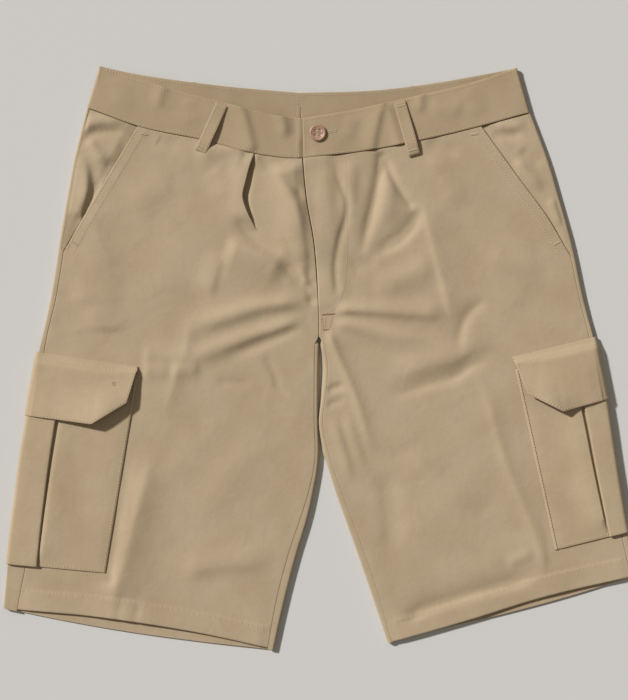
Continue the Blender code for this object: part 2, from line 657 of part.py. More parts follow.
def make_bag(key, cargo, side_at, levels, finish):
    """Cargo pocket bag: one piece of cloth across the side seam, with a box pleat on the front."""
    place = cargo_patch(cargo.bag_top, cargo.bag_bottom, side_at, WALL + GAP)
    drop = cargo.bag_bottom[0].y - cargo.bag_top[0].y
    rows = [(y - cargo.bag_top[0].y) / drop for y in levels]
    faces = ([], [])
    for v in (0, *(v for v in rows if 0.02 < v < 0.98), 1):
        width = math.dist(place(0, v), place(1, v))
        strip = cargo.strip[0] + (cargo.strip[1] - cargo.strip[0]) * v
        profile = bag_profile(width, strip)
        for index, face in enumerate(faces):
            face.append([(*place(point[index][0] / width, v), point[index][1]) for point in profile])
    cloth("cargo_pocket_" + key, *faces, finish)


def flap_under(s, v, width, lift):
    """Underside of the front half of a flap."""
    over_pocket = POCKET_TOP + PLEAT_RISE + GAP
    near_side = POCKET_TOP + GAP
    rise = soft_step(v / FLAP_DOWN[1])
    free = max(0.0, s / width - 0.3) / 0.7
    if s <= 4.4:
        return near_side
    if s <= 12:
        return near_side + (over_pocket - near_side) * rise * (s - 4.4) / 7.6
    flat = FRONT_TOP + GAP
    return flat + (over_pocket - flat) * rise + lift * free * v


def make_flap(key, cargo, side_at, finish):
    """Flap: sewn along its top, round the side, with a clipped corner at each free end."""
    place = cargo_patch(cargo.flap_top, cargo.flap_bottom, side_at, 2 * (WALL + GAP))
    start, tip, end = cargo.flap_bottom
    corner = math.dist(start, tip) / (math.dist(start, tip) + math.dist(tip, end))
    radius = (POCKET_TOP + GAP + WALL) / 2
    faces = ([], [])
    for v in FLAP_DOWN:
        width = math.dist(place(0, v), place(1, v))
        far = (width, width * (1 + corner) / 2, width * corner)
        profile = []
        for s in (*far, (width * corner + 36) / 2, 36, 18, 12):
            under = flap_under(s, v, width, cargo.lift)
            profile.append(((s, under + WALL), (s, under)))
        profile += turn(radius, radius, radius, radius - WALL, 90, 270, TURN_STEPS)
        profile += [((s, 0.0), (s, WALL)) for s in (width * corner / 2, *reversed(far))]
        for index, face in enumerate(faces):
            face.append([(*place(point[index][0] / width, v), point[index][1]) for point in profile])
    cloth("cargo_flap_" + key, *faces, finish)


# ---- Belt loops and button ----

def make_front_loop(key, loop, base, finish):
    """Belt loop on the front of the band: sewn down at both ends, with room for a belt between."""
    run_x = loop.bottom.x - loop.top.x
    run_y = loop.bottom.y - loop.top.y
    length = math.hypot(run_x, run_y)
    across = (-run_y / length * LOOP_WIDTH / 2, run_x / length * LOOP_WIDTH / 2)
    low = base + GAP
    shape = ((0, 0), (LOOP_END, 0), (LOOP_END + 3, 0.55), (LOOP_END + 7, 1), (length / 2, 1),
             (length - LOOP_END - 7, 1), (length - LOOP_END - 3, 0.55), (length - LOOP_END, 0), (length, 0))
    faces = ([], [])
    for distance, rise in shape:
        t = distance / length
        x = loop.top.x + run_x * t
        y = loop.top.y + run_y * t
        under = low + rise * (LOOP_CLEAR - GAP)
        ends = [(x + across[0] * side, y + across[1] * side) for side in (-1, 0, 1)]
        faces[0].append([(*end, under + LOOP_WALL) for end in ends])
        faces[1].append([(*end, under) for end in ends])
    cloth("belt_loop_front_" + key, *faces, finish)


def make_back_loop(key, top, finish):
    """Belt loop under the back of the band, pressed flat."""
    faces = ([], [])
    for y in (top.y - 2, top.y - BACK_LOOP_LENGTH / 2, top.y - BACK_LOOP_LENGTH):
        ends = [(top.x + LOOP_WIDTH / 2 * side, y) for side in (-1, 1)]
        faces[0].append([(*end, WALL) for end in ends])
        faces[1].append([(*end, 0.0) for end in ends])
    cloth("belt_loop_back_" + key, *faces, finish)


def make_button(base, finish):
    """Dished button with four holes."""
    mesh = bmesh.new()
    radius = BUTTON_DIAMETER / 2
    top = BUTTON_THICKNESS
    dish = radius - BUTTON_RIM
    outline = ((0, 0), (radius - 1.6, 0), (radius, 1.4), (radius - 0.6, top), (dish + 0.5, top),
               (dish - 0.6, top - BUTTON_DISH), (0, top - BUTTON_DISH))
    spots = [mesh.verts.new((s * MM, 0, z * MM)) for s, z in outline]
    edges = [mesh.edges.new(pair) for pair in zip(spots, spots[1:])]
    bmesh.ops.spin(mesh, geom=spots + edges, axis=(0, 0, 1), cent=(0, 0, 0), angle=2 * math.pi,
                   steps=22, use_merge=True)
    bmesh.ops.remove_doubles(mesh, verts=mesh.verts[:], dist=0.00001)
    bmesh.ops.translate(mesh, verts=mesh.verts[:], vec=(BUTTON_X * MM, BUTTON_Y * MM, base * MM))
    button = add_object("button", mesh, finish)
    for row in (-1, 1):
        for column in (-1, 1):
            drill = bmesh.new()
            bmesh.ops.create_cone(drill, cap_ends=True, segments=6, radius1=HOLE_DIAMETER / 2 * MM,
                                  radius2=HOLE_DIAMETER / 2 * MM, depth=4 * BUTTON_THICKNESS * MM)
            spot = (BUTTON_X + row * HOLE_SPACING / 2, BUTTON_Y + column * HOLE_SPACING / 2, base)
            bmesh.ops.translate(drill, verts=drill.verts[:], vec=[value * MM for value in spot])
            cutter = add_object(f"button_hole_{row}_{column}", drill, finish)
            cutter.hide_render = True
            cutter.display_type = "WIRE"
            cut = button.modifiers.new(cutter.name, "BOOLEAN")
            cut.operation = "DIFFERENCE"
            cut.object = cutter
    return button


# ---- The shorts ----

def clear_scene():
    """Removes whatever the scene holds."""
    for item in list(bpy.data.objects):
        bpy.data.objects.remove(item)


def main():
    """Builds every piece."""
    clear_scene()
    twill = material("cotton twill", (0.45, 0.34, 0.23), 0.9)
    band_twill = material("waistband twill", (0.40, 0.30, 0.20), 0.9)
    pocket_twill = material("pocket twill", (0.46, 0.35, 0.24), 0.9)
    resin = material("polyester button", (0.35, 0.22, 0.14), 0.4)
    for key, leg in LEGS.items():
        side_seam, inseam, turn_line = make_back(key, leg, twill)
        band_edge = make_band(key, leg, band_twill)
        make_front(key, leg, (band_edge, side_seam, inseam), twill)
        make_facing(key, leg, twill)

        def side_at(y, proud, leg=leg, turn_line=turn_line):
            return straight_value(turn_line, y, 0) + leg.side * proud
        make_bag(key, CARGO[key], side_at, [y for x, y in turn_line], pocket_twill)
        make_flap(key, CARGO[key], side_at, pocket_twill)
        make_front_loop(key, FRONT_LOOPS[key], BAND_TOP, band_twill)
    make_fly_shield(twill)
    for key, top in BACK_LOOPS.items():
        make_back_loop(key, top, band_twill)
    make_button(BAND_TOP + BAND_LAP + GAP, resin)


main()
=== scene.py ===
"""Men's cargo shorts in khaki cotton twill, laid flat on their back: cloth, stitching and button.

Lengths in the tables are millimetres, seen from above the front of the shorts: x runs to the
right, y towards the waistband and z up from the surface they lie on. "Left" is the side at -x.
Meshes are in metres.
"""

import math
from collections import namedtuple

import bmesh
import bpy
import numpy as np
from bpy.props import FloatProperty, FloatVectorProperty, PointerProperty, StringProperty
from mathutils import Matrix, Vector
from mathutils.bvhtree import BVHTree


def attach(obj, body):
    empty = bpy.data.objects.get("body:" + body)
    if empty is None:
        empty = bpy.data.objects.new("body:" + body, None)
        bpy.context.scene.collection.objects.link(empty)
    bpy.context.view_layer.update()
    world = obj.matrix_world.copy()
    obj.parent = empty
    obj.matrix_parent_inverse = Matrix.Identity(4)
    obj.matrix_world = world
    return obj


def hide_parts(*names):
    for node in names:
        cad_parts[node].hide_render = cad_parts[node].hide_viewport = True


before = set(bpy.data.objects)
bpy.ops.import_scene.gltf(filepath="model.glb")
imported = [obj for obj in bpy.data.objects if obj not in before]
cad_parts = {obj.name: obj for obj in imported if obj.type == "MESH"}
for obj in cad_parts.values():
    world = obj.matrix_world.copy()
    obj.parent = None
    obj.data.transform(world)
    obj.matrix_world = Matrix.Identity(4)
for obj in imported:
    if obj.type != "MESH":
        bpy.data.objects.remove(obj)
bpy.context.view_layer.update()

bl_info = {
    "name": "Cargo Shorts",
    "version": (1, 0, 0),
    "blender": (4, 5, 0),
    "location": "3D View > Sidebar > Shorts",
    "description": "Cloth, stitching and button of a pair of cargo shorts laid flat",
    "category": "Object",
}

MM = 0.001

# Layers: one thickness of twill, the space between two pieces, and the doubled pieces.
WALL = 1.2
GAP = 0.3
SEAM_GAP = 0.1
BAND_WALL = 2.0
HEM_WALL = 2 * WALL
HEM_DEPTH = 20.0

# Heights where the layers lie on each other, from the surface up.
POCKET_UNDER = WALL + GAP
LEG_RAISED = POCKET_UNDER + WALL + GAP
FRONT_TOP = LEG_RAISED + WALL + GAP + WALL
POCKET_TOP = FRONT_TOP + GAP + WALL
PLEAT_RISE = 2 * (WALL + GAP)
LINER_TOP = FRONT_TOP - WALL - GAP
BAND_UNDER = WALL + GAP
BAND_TOP = FRONT_TOP + WALL

# Spacing of the cloth's grid, and steps round a turn and round a folded edge.
FRONT_STEP = 2.2
BACK_STEP = 3.4
BAND_STEP = 2.2
POCKET_STEP = 2.4
FLAP_STEP = 1.9
TURN_STEPS = 12
TURN_SHAPE = 0.62
FOLD_STEPS = 7
EDGE_OFFSETS = (0.0, 0.15, 0.4, 0.9)

# Cargo pockets: how far the box pleat's fold goes under, and the lengths of a bag and a flap.
PLEAT_UNDER = 12.0
BAG_LENGTH = 206.0
FLAP_LENGTH = 64.0

# Belt loops: width, thickness, and the length of the ones on the back.
LOOP_WIDTH = 12.5
LOOP_WALL = 1.6
BACK_LOOP_LENGTH = 52.0

# Button: four holes in a dished disc.
BUTTON_X = -2.4
BUTTON_Y = 231.6
BUTTON_DIAMETER = 17.2
BUTTON_THICKNESS = 2.5
BUTTON_RIM = 2.2
BUTTON_DISH = 0.5
HOLE_DIAMETER = 2.0
HOLE_SPACING = 3.6

# Stitching: spacing and length of a stitch, and the thread's width.
STITCH_PITCH = 3.2
STITCH_LENGTH = 2.1
THREAD_WIDTH = 0.85
TACK_PITCH = 0.75

Point = namedtuple("Point", "x y")

# A leg, row by row down it: the outside of each side turn, and how far the back comes round
# each side onto the front, where the side seam and the inseam are.
Level = namedtuple("Level", "y outer wrap_out inner wrap_in")
LEFT_LEG = (
    Level(y=258, outer=-240, wrap_out=4.2, inner=-19.5, wrap_in=3.6),
    Level(y=204, outer=-253.5, wrap_out=4.2, inner=-17.5, wrap_in=3.6),
    Level(y=163, outer=-261, wrap_out=4.5, inner=-13.5, wrap_in=3.6),
    Level(y=122, outer=-268, wrap_out=5.5, inner=-6.5, wrap_in=3.6),
    Level(y=60, outer=-278, wrap_out=5.5, inner=-2, wrap_in=3.6),
    Level(y=22, outer=-286.5, wrap_out=5, inner=-1.2, wrap_in=3.6),
    Level(y=-2, outer=-291.5, wrap_out=6, inner=-1.9, wrap_in=3.6),
    Level(y=-59, outer=-301.5, wrap_out=11, inner=-2.4, wrap_in=3.6),
    Level(y=-110, outer=-309.5, wrap_out=14, inner=-2.2, wrap_in=3.6),
    Level(y=-136, outer=-313, wrap_out=16, inner=-6.5, wrap_in=4.5),
    Level(y=-167, outer=-317, wrap_out=17.5, inner=-13.5, wrap_in=7),
    Level(y=-198, outer=-320.5, wrap_out=19, inner=-23, wrap_in=8),
    Level(y=-258, outer=-326.5, wrap_out=14.5, inner=-38.5, wrap_in=8),
    Level(y=-301, outer=-330, wrap_out=12, inner=-48, wrap_in=6),
)
RIGHT_LEG = (
    Level(y=258, outer=214.5, wrap_out=4, inner=-19.5, wrap_in=3.6),
    Level(y=204, outer=235, wrap_out=4, inner=-17.5, wrap_in=3.6),
    Level(y=163, outer=247, wrap_out=4, inner=-13.5, wrap_in=3.6),
    Level(y=122, outer=258.5, wrap_out=4, inner=-6.5, wrap_in=3.6),
    Level(y=60, outer=272, wrap_out=4, inner=-2, wrap_in=3.6),
    Level(y=22, outer=281.5, wrap_out=4, inner=-1, wrap_in=3.6),
    Level(y=-5, outer=287, wrap_out=4, inner=4.0, wrap_in=3.6),
    Level(y=-43, outer=294.5, wrap_out=4.5, inner=1.6, wrap_in=3.6),
    Level(y=-64, outer=298, wrap_out=5, inner=-1.2, wrap_in=3.6),
    Level(y=-95, outer=302.5, wrap_out=5, inner=3.6, wrap_in=4.2),
    Level(y=-136, outer=309, wrap_out=6, inner=15.5, wrap_in=5.5),
    Level(y=-177, outer=316, wrap_out=6, inner=30, wrap_in=6.5),
    Level(y=-224, outer=326.5, wrap_out=6, inner=46.5, wrap_in=7),
    Level(y=-294, outer=340, wrap_out=6, inner=70, wrap_in=4),
)

# Edges across the shorts, from the outer side to the middle.
LEFT_SEAM_FRONT = (Point(-240, 258), Point(-188, 239), Point(-118, 224), Point(-69, 211), Point(-18, 206))
RIGHT_SEAM_FRONT = (Point(216, 253), Point(166, 239), Point(88, 221), Point(57, 215), Point(-17, 206))
LEFT_SEAM_BACK = (Point(-240, 258), Point(-205, 251), Point(-108, 237), Point(-19, 229))
RIGHT_SEAM_BACK = (Point(216, 253), Point(180, 246), Point(92, 236), Point(-19, 229))
LEFT_TOP_FRONT = (Point(-227, 301), Point(-198, 291), Point(-98, 263), Point(-18, 247))
RIGHT_TOP_FRONT = (Point(203, 299), Point(154, 283), Point(91, 268), Point(36, 256), Point(-18, 247))
LEFT_TOP_BACK = (Point(-227, 301), Point(-206, 296), Point(-108, 281), Point(-21, 273))
RIGHT_TOP_BACK = (Point(203, 299), Point(124, 284), Point(62, 276), Point(-21, 273))
LEFT_HEM_FRONT = (Point(-326.5, -258), Point(-219, -268), Point(-126, -283), Point(-48, -300))
LEFT_HEM_BACK = (Point(-326.5, -258), Point(-279, -268), Point(-207, -281), Point(-120, -293),
                 Point(-48, -301))
RIGHT_HEM_FRONT = (Point(326.5, -224), Point(232, -246), Point(147, -272), Point(70, -294))
RIGHT_HEM_BACK = (Point(326.5, -224), Point(260, -245), Point(186, -265), Point(118, -281),
                  Point(70, -294))

# Slant pocket mouths, from the waistband down to the side seam.
LEFT_MOUTH = (Point(-188, 239), Point(-216, 192), Point(-239, 153), Point(-262, 113))
RIGHT_MOUTH = (Point(166, 239), Point(205, 185), Point(233, 147), Point(254, 112))
MOUTH_END = 113.0
CROTCH = 22.0
FLY_SLOT = 0.55
FACING_UNDER = 22.0

# Flaps and pocket bags, from the side turn to the free front edge.
LEFT_FLAP_TOP = (Point(-293.5, 6.5), Point(-187, -9))
LEFT_FLAP_BOTTOM = (Point(-304.5, -59), Point(-234, -68), Point(-198, -46))
RIGHT_FLAP_TOP = (Point(285.5, 22), Point(198, 1))
RIGHT_FLAP_BOTTOM = (Point(297, -42), Point(249, -55), Point(213, -37))
LEFT_BAG_TOP = (Point(-294.5, -6), Point(-188, -21))
LEFT_BAG_BOTTOM = (Point(-323.2, -212), Point(-221, -221.5))
RIGHT_BAG_TOP = (Point(287.5, 9), Point(201, -12))
RIGHT_BAG_BOTTOM = (Point(317.8, -179), Point(242, -198))

# The left end of the waistband, which passes under the right front of it.
BAND_END_TOP = Point(20, 250)
BAND_END_BOTTOM = Point(20, 212)

Leg = namedtuple("Leg", "side levels seam_front seam_back top_front top_back hem_front hem_back mouth")
LEGS = {
    "l": Leg(-1, LEFT_LEG, LEFT_SEAM_FRONT, LEFT_SEAM_BACK, LEFT_TOP_FRONT, LEFT_TOP_BACK,
             LEFT_HEM_FRONT, LEFT_HEM_BACK, LEFT_MOUTH),
    "r": Leg(1, RIGHT_LEG, RIGHT_SEAM_FRONT, RIGHT_SEAM_BACK, RIGHT_TOP_FRONT, RIGHT_TOP_BACK,
             RIGHT_HEM_FRONT, RIGHT_HEM_BACK, RIGHT_MOUTH),
}

# The strip's width, how far the bag stands up beside it (puff) and the width of the groove
# between them (trench), each at the bag's top and bottom. Lift: how far the flap stands off at
# its tip and along its free edge.
Cargo = namedtuple("Cargo", "flap_top flap_bottom bag_top bag_bottom strip puff trench lift")
CARGO = {
    "l": Cargo(LEFT_FLAP_TOP, LEFT_FLAP_BOTTOM, LEFT_BAG_TOP, LEFT_BAG_BOTTOM,
               (31.5, 32.5), (0.2, 2.4), (3.6, 0.9), (4.6, 2.6)),
    "r": Cargo(RIGHT_FLAP_TOP, RIGHT_FLAP_BOTTOM, RIGHT_BAG_TOP, RIGHT_BAG_BOTTOM,
               (27.5, 20.5), (3.6, 2.4), (3.6, 1.4), (5.6, 1.8)),
}

# Belt loops on the front: the middle of each end, and how far each long edge stands off, the
# left edge first.
Loop = namedtuple("Loop", "top bottom left_rise right_rise")
FRONT_LOOPS = {
    "l": Loop(Point(-101, 261), Point(-123, 212), 1.2, 2.6),
    "r": Loop(Point(82, 263), Point(97, 209), 0.8, 1.8),
}
BACK_LOOPS = {"centre": Point(-20, 274), "l": Point(-135, 287), "r": Point(100, 283)}

# Creases: a smooth path, the widths of its two sides (left and right of its direction), its
# height (below zero it is a trough), how keen its spine is (2 is round, 1 is sharp), the parts
# of its length over which it rises and falls, and its width at the start as a share of the end's.
Crease = namedtuple("Crease", "path left right height spine rise fall narrow",
                    defaults=(2.0, 0.25, 0.35, 1.0))
FRONT_CREASES = (
    # Left thigh, out of the crotch.
    Crease(((-12, 41), (-34, 34), (-79, 20), (-116, 6), (-146, -3)), 9, 9, 3.2, 1.8, 0.2, 0.25, 0.6),
    Crease(((-16, 35), (-34, 27), (-75, 10), (-112, -5)), 7, 6, -1.8, 2, 0.2, 0.4, 0.6),
    Crease(((-13, 58), (-60, 53), (-95, 43), (-148, 28)), 10, 11, 4.4, 1.8, 0.2, 0.35, 0.5),
    Crease(((-86, 150), (-78, 134), (-64, 119), (-44, 103), (-21, 80), (-10, 62)),
           9, 5, -2.6, 1.6, 0.12, 0.2),
    Crease(((-100, 116), (-70, 107), (-46, 100), (-30, 92)), 7, 20, 5.0, 1.7, 0.2, 0.25, 1.2),
    Crease(((-101, 112), (-108, 88), (-117, 60)), 5, 14, 2.2, 1.5, 0.3, 0.3),
    Crease(((-22, 100), (-15, 78), (-7, 58)), 3.5, 4, 2.0, 1.6, 0.3, 0.2),
    Crease(((-14, 80), (-13, 70), (-5, 52)), 2.5, 3, -2.2, 1.6),
    Crease(((-40, 204), (-30, 160), (-21, 120), (-13, 84)), 16, 14, 4.6, 1.8, 0.12, 0.25),
    Crease(((-22, 204), (-19, 163), (-12, 122), (-8, 80), (-6, 52)), 13, 4, -1.7, 1.6, 0.1, 0.1),
    Crease(((-65, 208), (-42, 187), (-23, 172), (-18, 158)), 4, 5, -2.2, 1.5, 0.08, 0.2),
    Crease(((-57, 206), (-36, 178), (-21, 146), (-12, 116)), 5, 5, 1.8, 1.7, 0.25, 0.3),
    Crease(((-46, 132), (-39, 116), (-32, 102)), 3.5, 4, 0.8, 1.6, 0.3, 0.3),
    Crease(((-24, 204), (-21, 170), (-15, 130)), 4, 6, 1.4, 1.7, 0.15, 0.4),
    # Right thigh, out of the crotch.
    Crease(((14, 50), (50, 49), (90, 47), (134, 45)), 12, 7, 3.6, 1.8, 0.12, 0.2, 0.4),
    Crease(((12, 38), (40, 32), (72, 24), (114, 14)), 6, 12, 2.8, 2, 0.15, 0.35, 0.4),
    Crease(((8, 30), (16, 8), (26, -15), (36, -38), (45, -66), (57, -112)),
           7, 5.5, 2.6, 1.25, 0.08, 0.45, 0.6),
    Crease(((3, -34), (14, -31), (28, -28)), 3, 3, -1.7, 1.6),
    Crease(((4, -50), (18, -45), (27, -42)), 3, 3, -1.1, 1.7),
    Crease(((12, -58), (22, -90), (34, -130)), 4, 5, 1.6, 1.6),
    Crease(((26, -54), (35, -84), (47, -120)), 4, 5, 1.3, 1.7),
    Crease(((66, -112), (73, -165), (74, -218)), 12, 9, -2.0),
    Crease(((52, 72), (84, 82), (124, 103)), 10, 12, 2.4, 2, 0.3, 0.3),
    Crease(((30, 92), (44, 97), (62, 99)), 7, 7, -1.2),
    # Fly: narrow creases down its face.
    Crease(((13, 206), (19, 184), (28, 160), (27, 146), (20, 122), (16, 98), (18, 62)),
           3.5, 2.2, -1.9, 1.5, 0.3, 0.08),
    Crease(((5, 202), (5, 150), (4, 100), (7, 60)), 9, 8, 0.9, 2, 0.15, 0.2),
    # Right pleat: two valleys that part below the waistband, with a raised facet between.
    Crease(((64, 214), (62, 194), (57, 166), (48, 130), (40, 98)), 4, 5, -3.6, 1.5, 0.06, 0.4),
    Crease(((66, 208), (80, 177), (98, 152)), 3, 4, -2.6, 1.4, 0.12, 0.15),
    Crease(((70, 196), (70, 166), (63, 128)), 10, 8, 2.6, 1.9, 0.35, 0.4),
    Crease(((101, 158), (98, 142), (86, 125), (64, 112), (48, 104)), 5, 9, -3.4, 1.7, 0.2, 0.35),
    Crease(((34, 206), (31, 170), (28, 130)), 6, 8, 1.6, 1.8, 0.15, 0.5),
    # Pressed creases down the middle of each leg.
    Crease(((-133, 44), (-138, 7), (-148, -16), (-152, -34), (-160, -70)), 9, 9, 1.9, 1.3, 0.2, 0.35),
    Crease(((-170, -90), (-183, -140), (-194, -182), (-203, -217), (-210, -240), (-214, -262)),
           18, 11, 4.8, 1.35, 0.25, 0.2),
    Crease(((104, 170), (113, 132), (123, 93), (132, 58), (138, 36)), 12, 3.5, 1.9, 1.3, 0.3, 0.15),
    Crease(((160, -8), (173, -42), (193, -112), (217, -169), (236, -228)), 7, 5, 1.5, 1.3, 0.25, 0.12),
    # Bends across the legs.
    Crease(((174, 62), (158, 50), (148, 36), (144, 22), (147, 2)), 4, 6, -2.0, 1.5, 0.25, 0.3),
    Crease(((66, -18), (104, -8), (140, 2), (162, 13), (188, 18)), 14, 8, 2.2, 1.8, 0.35, 0.35),
    Crease(((58, -42), (80, -36), (112, -27), (141, -18), (156, -8), (184, 2)),
           8, 4, -2.6, 1.6, 0.35, 0.35, 1.4),
    Crease(((-198, 4), (-165, 3), (-130, -2)), 10, 6, 1.6, 1.8),
    Crease(((-156, -13), (-138, -13), (-121, -9)), 7, 8, 2.2, 1.7),
    Crease(((-194, -10), (-172, -12), (-150, -16)), 8, 9, 2.4, 1.8),
    Crease(((-60, 6), (-46, -18), (-43, -31), (-30, -38)), 4, 3, -1.1, 1.6),
    Crease(((-108, -24), (-88, -26), (-68, -25)), 4, 4, -0.9, 1.6),
    Crease(((-240, 158), (-232, 128), (-220, 92), (-204, 72)), 13, 20, 2.2, 1.8, 0.2, 0.4),
    Crease(((-262, 64), (-236, 62), (-196, 66)), 14, 9, 1.8, 1.8, 0.3, 0.4),
    Crease(((-236, 60), (-228, 36), (-206, 12)), 22, 12, 2.0, 2, 0.35, 0.35),
    Crease(((-280, 8), (-262, 20), (-238, 30)), 4, 4, 1.4, 1.7),
    Crease(((-272, 1), (-246, 12)), 4, 4, 1.0, 1.7),
    Crease(((-132, 216), (-108, 214), (-88, 212), (-74, 206)), 5, 12, 3.6, 1.7, 0.3, 0.15),
    Crease(((-182, 228), (-160, 222), (-140, 220)), 5, 6, -1.0),
    Crease(((-112, 198), (-100, 180), (-96, 158)), 8, 12, 1.4),
    Crease(((-150, 190), (-176, 168), (-200, 150)), 12, 14, 1.2),
    Crease(((-130, 130), (-150, 96), (-160, 60)), 18, 20, 1.2),
    Crease(((112, 214), (132, 180), (146, 150)), 12, 10, 1.3),
    Crease(((170, 110), (200, 96), (236, 92)), 12, 12, 1.2),
    Crease(((110, 226), (126, 214), (146, 212)), 6, 7, -1.2),
    # Towards the hems.
    Crease(((-150, -222), (-113, -213), (-72, -211), (-44, -216)), 14, 9, 2.8, 1.8),
    Crease(((-202, -240), (-206, -256), (-209, -274)), 3, 3, -0.6, 1.6, 0.3, 0.1),
    Crease(((-186, -250), (-189, -264), (-193, -278)), 3, 3, -0.7, 1.6, 0.3, 0.1),
    Crease(((84, -276), (100, -264), (130, -252), (166, -241), (200, -232), (230, -222)),
           10, 4, -3.4, 1.5, 0.15, 0.2),
    Crease(((192, -214), (206, -206), (222, -200)), 6, 5, 1.2, 1.7),
    Crease(((84, -92), (104, -112), (140, -138), (176, -154)), 10, 14, 2.6),
    Crease(((-60, -80), (-100, -130), (-120, -180)), 18, 16, 1.1),
    Crease(((-90, -60), (-130, -90), (-160, -150)), 20, 16, 0.9),
)
BAND_CREASES = (
    Crease(((-85, 268), (-76, 242), (-69, 210)), 4, 9, 2.4, 1.5, 0.12, 0.12),
    Crease(((-41, 256), (-38, 242), (-34, 224)), 4, 6, 2.2, 1.5, 0.2, 0.4),
    Crease(((-25, 258), (-24, 240), (-23, 220)), 3, 7, -1.4, 1.6),
    Crease(((66, 268), (58, 240), (52, 210)), 3.5, 9, 2.3, 1.5, 0.12, 0.12),
    Crease(((36, 252), (31, 238), (27, 220)), 6, 6, 1.0),
    Crease(((69, 262), (77, 236), (84, 212)), 3.5, 5, 1.6, 1.5, 0.1, 0.1),
    Crease(((104, 276), (103, 264), (102, 250)), 4, 5, 1.6, 1.6, 0.15, 0.4),
    Crease(((112, 262), (128, 256), (150, 258)), 6, 7, 1.0),
    Crease(((-160, 284), (-165, 268), (-168, 254)), 5, 6, 1.4, 1.6, 0.15, 0.4),
    Crease(((-136, 270), (-134, 254), (-128, 236)), 7, 8, 0.8),
    Crease(((-210, 292), (-206, 272), (-208, 252)), 10, 10, 0.9),
    Crease(((150, 280), (160, 262), (164, 246)), 9, 9, 0.9),
)
FACING_CREASES = {
    "l": (
        Crease(((-250, 236), (-224, 244), (-198, 241)), 6, 5, 2.2, 1.7),
        Crease(((-246, 230), (-222, 233), (-198, 232)), 4, 4, -1.4, 1.6),
        Crease(((-240, 228), (-230, 212), (-217, 198)), 5, 6, 2.4, 1.5),
        Crease(((-208, 226), (-212, 210), (-219, 198)), 4, 5, 0.8, 1.6),
        Crease(((-248, 216), (-243, 200), (-241, 178), (-249, 142)), 4, 9, 2.4, 1.5, 0.5, 0.12),
        Crease(((-240, 208), (-234, 190), (-234, 166), (-243, 144)), 6, 3, -1.8, 1.6, 0.5, 0.1),
    ),
    "r": (
        Crease(((176, 232), (192, 230), (212, 232)), 5, 5, -1.4, 1.7),
        Crease(((178, 239), (196, 238), (214, 241)), 4, 5, 1.4, 1.7),
        Crease(((200, 206), (214, 190), (232, 172)), 5, 6, 1.7, 1.6),
        Crease(((206, 216), (220, 205), (232, 198)), 5, 5, -1.2, 1.6),
        Crease(((236, 166), (242, 150), (250, 132)), 4, 4, 1.3, 1.6),
    ),
}
# Soft dents of the hidden back, raised off the surface it lies on.
BACK_CREASES = (
    Crease(((-24, 40), (-70, 10), (-120, -10)), 12, 10, 0.8),
    Crease(((-28, 20), (-60, -40), (-80, -110)), 10, 12, 0.7),
    Crease(((26, 36), (74, 14), (130, 8)), 10, 12, 0.8),
    Crease(((24, 10), (50, -60), (70, -120)), 12, 10, 0.6),
    Crease(((-150, 40), (-162, -60), (-180, -150), (-205, -250)), 5, 6, 0.7, 1.6),
    Crease(((130, 50), (160, -30), (190, -120), (222, -220)), 5, 6, 0.7, 1.6),
    Crease(((-200, 180), (-150, 150), (-90, 150)), 16, 14, 0.6),
    Crease(((60, 160), (120, 140), (180, 160)), 14, 16, 0.6),
    Crease(((-130, -200), (-90, -220), (-60, -250)), 12, 10, 0.6),
    Crease(((100, -210), (150, -200), (190, -220)), 12, 10, 0.6),
)

# Left pleat: the overhanging lip and the line where the cloth under it comes up again.
PLEAT_LIP = (Point(-67.5, 213), Point(-73, 197), Point(-77, 182), Point(-80, 167),
             Point(-75.5, 151), Point(-67, 134))
PLEAT_UNDERLAY = (Point(-66.5, 213), Point(-68.5, 197), Point(-69.5, 182), Point(-72.6, 164),
                  Point(-70.5, 151), Point(-65, 134))
PLEAT_HEIGHT = 4.4
PLEAT_DEPTH = 2.8
PLEAT_WIDTH = 17.0
PLEAT_TOP = 214.0
PLEAT_FOOT = 129.0

# The flat size of each piece's cut, in metres: width, length and area. The widths and lengths are
# estimates, and the areas are those of the finished cloth.
Cut = namedtuple("Cut", "width length area")


# ---- Curves and surfaces ----

def soft_step(value):
    """0 below 0, 1 above 1, and a smooth rise between."""
    value = np.clip(value, 0.0, 1.0)
    return value * value * (3 - 2 * value)


def smooth_curve(keys, values, at):
    """A smooth curve through (key, value) points, straight beyond its ends."""
    keys = np.asarray(keys, float)
    values = np.asarray(values, float)
    if keys[0] > keys[-1]:
        keys = keys[::-1]
        values = values[::-1]
    at = np.asarray(at, float)
    slopes = np.gradient(values, keys)
    index = np.clip(np.searchsorted(keys, at) - 1, 0, len(keys) - 2)
    span = keys[index + 1] - keys[index]
    t = np.clip((at - keys[index]) / span, 0, 1)
    curve = (values[index] * (1 + 2 * t) * (1 - t) ** 2 + slopes[index] * span * t * (1 - t) ** 2
             + values[index + 1] * t * t * (3 - 2 * t) - slopes[index + 1] * span * t * t * (1 - t))
    beyond = at - np.clip(at, keys[0], keys[-1])
    return curve + beyond * np.where(beyond < 0, slopes[0], slopes[-1])


def edge_y(points, x):
    """Height of an edge that runs across the shorts, at x."""
    return smooth_curve([p.x for p in points], [p.y for p in points], x)


def edge_x(points, y):
    """Place of an edge that runs down the shorts, at y."""
    return smooth_curve([p.y for p in points], [p.x for p in points], y)


def leg_value(leg, name, y):
    """One column of a leg's table at height y."""
    return smooth_curve([row.y for row in leg.levels], [getattr(row, name) for row in leg.levels], y)


def centre_line(y):
    """Where the two fronts, and the two backs, meet."""
    return leg_value(LEGS["l"], "inner", np.maximum(y, CROTCH))


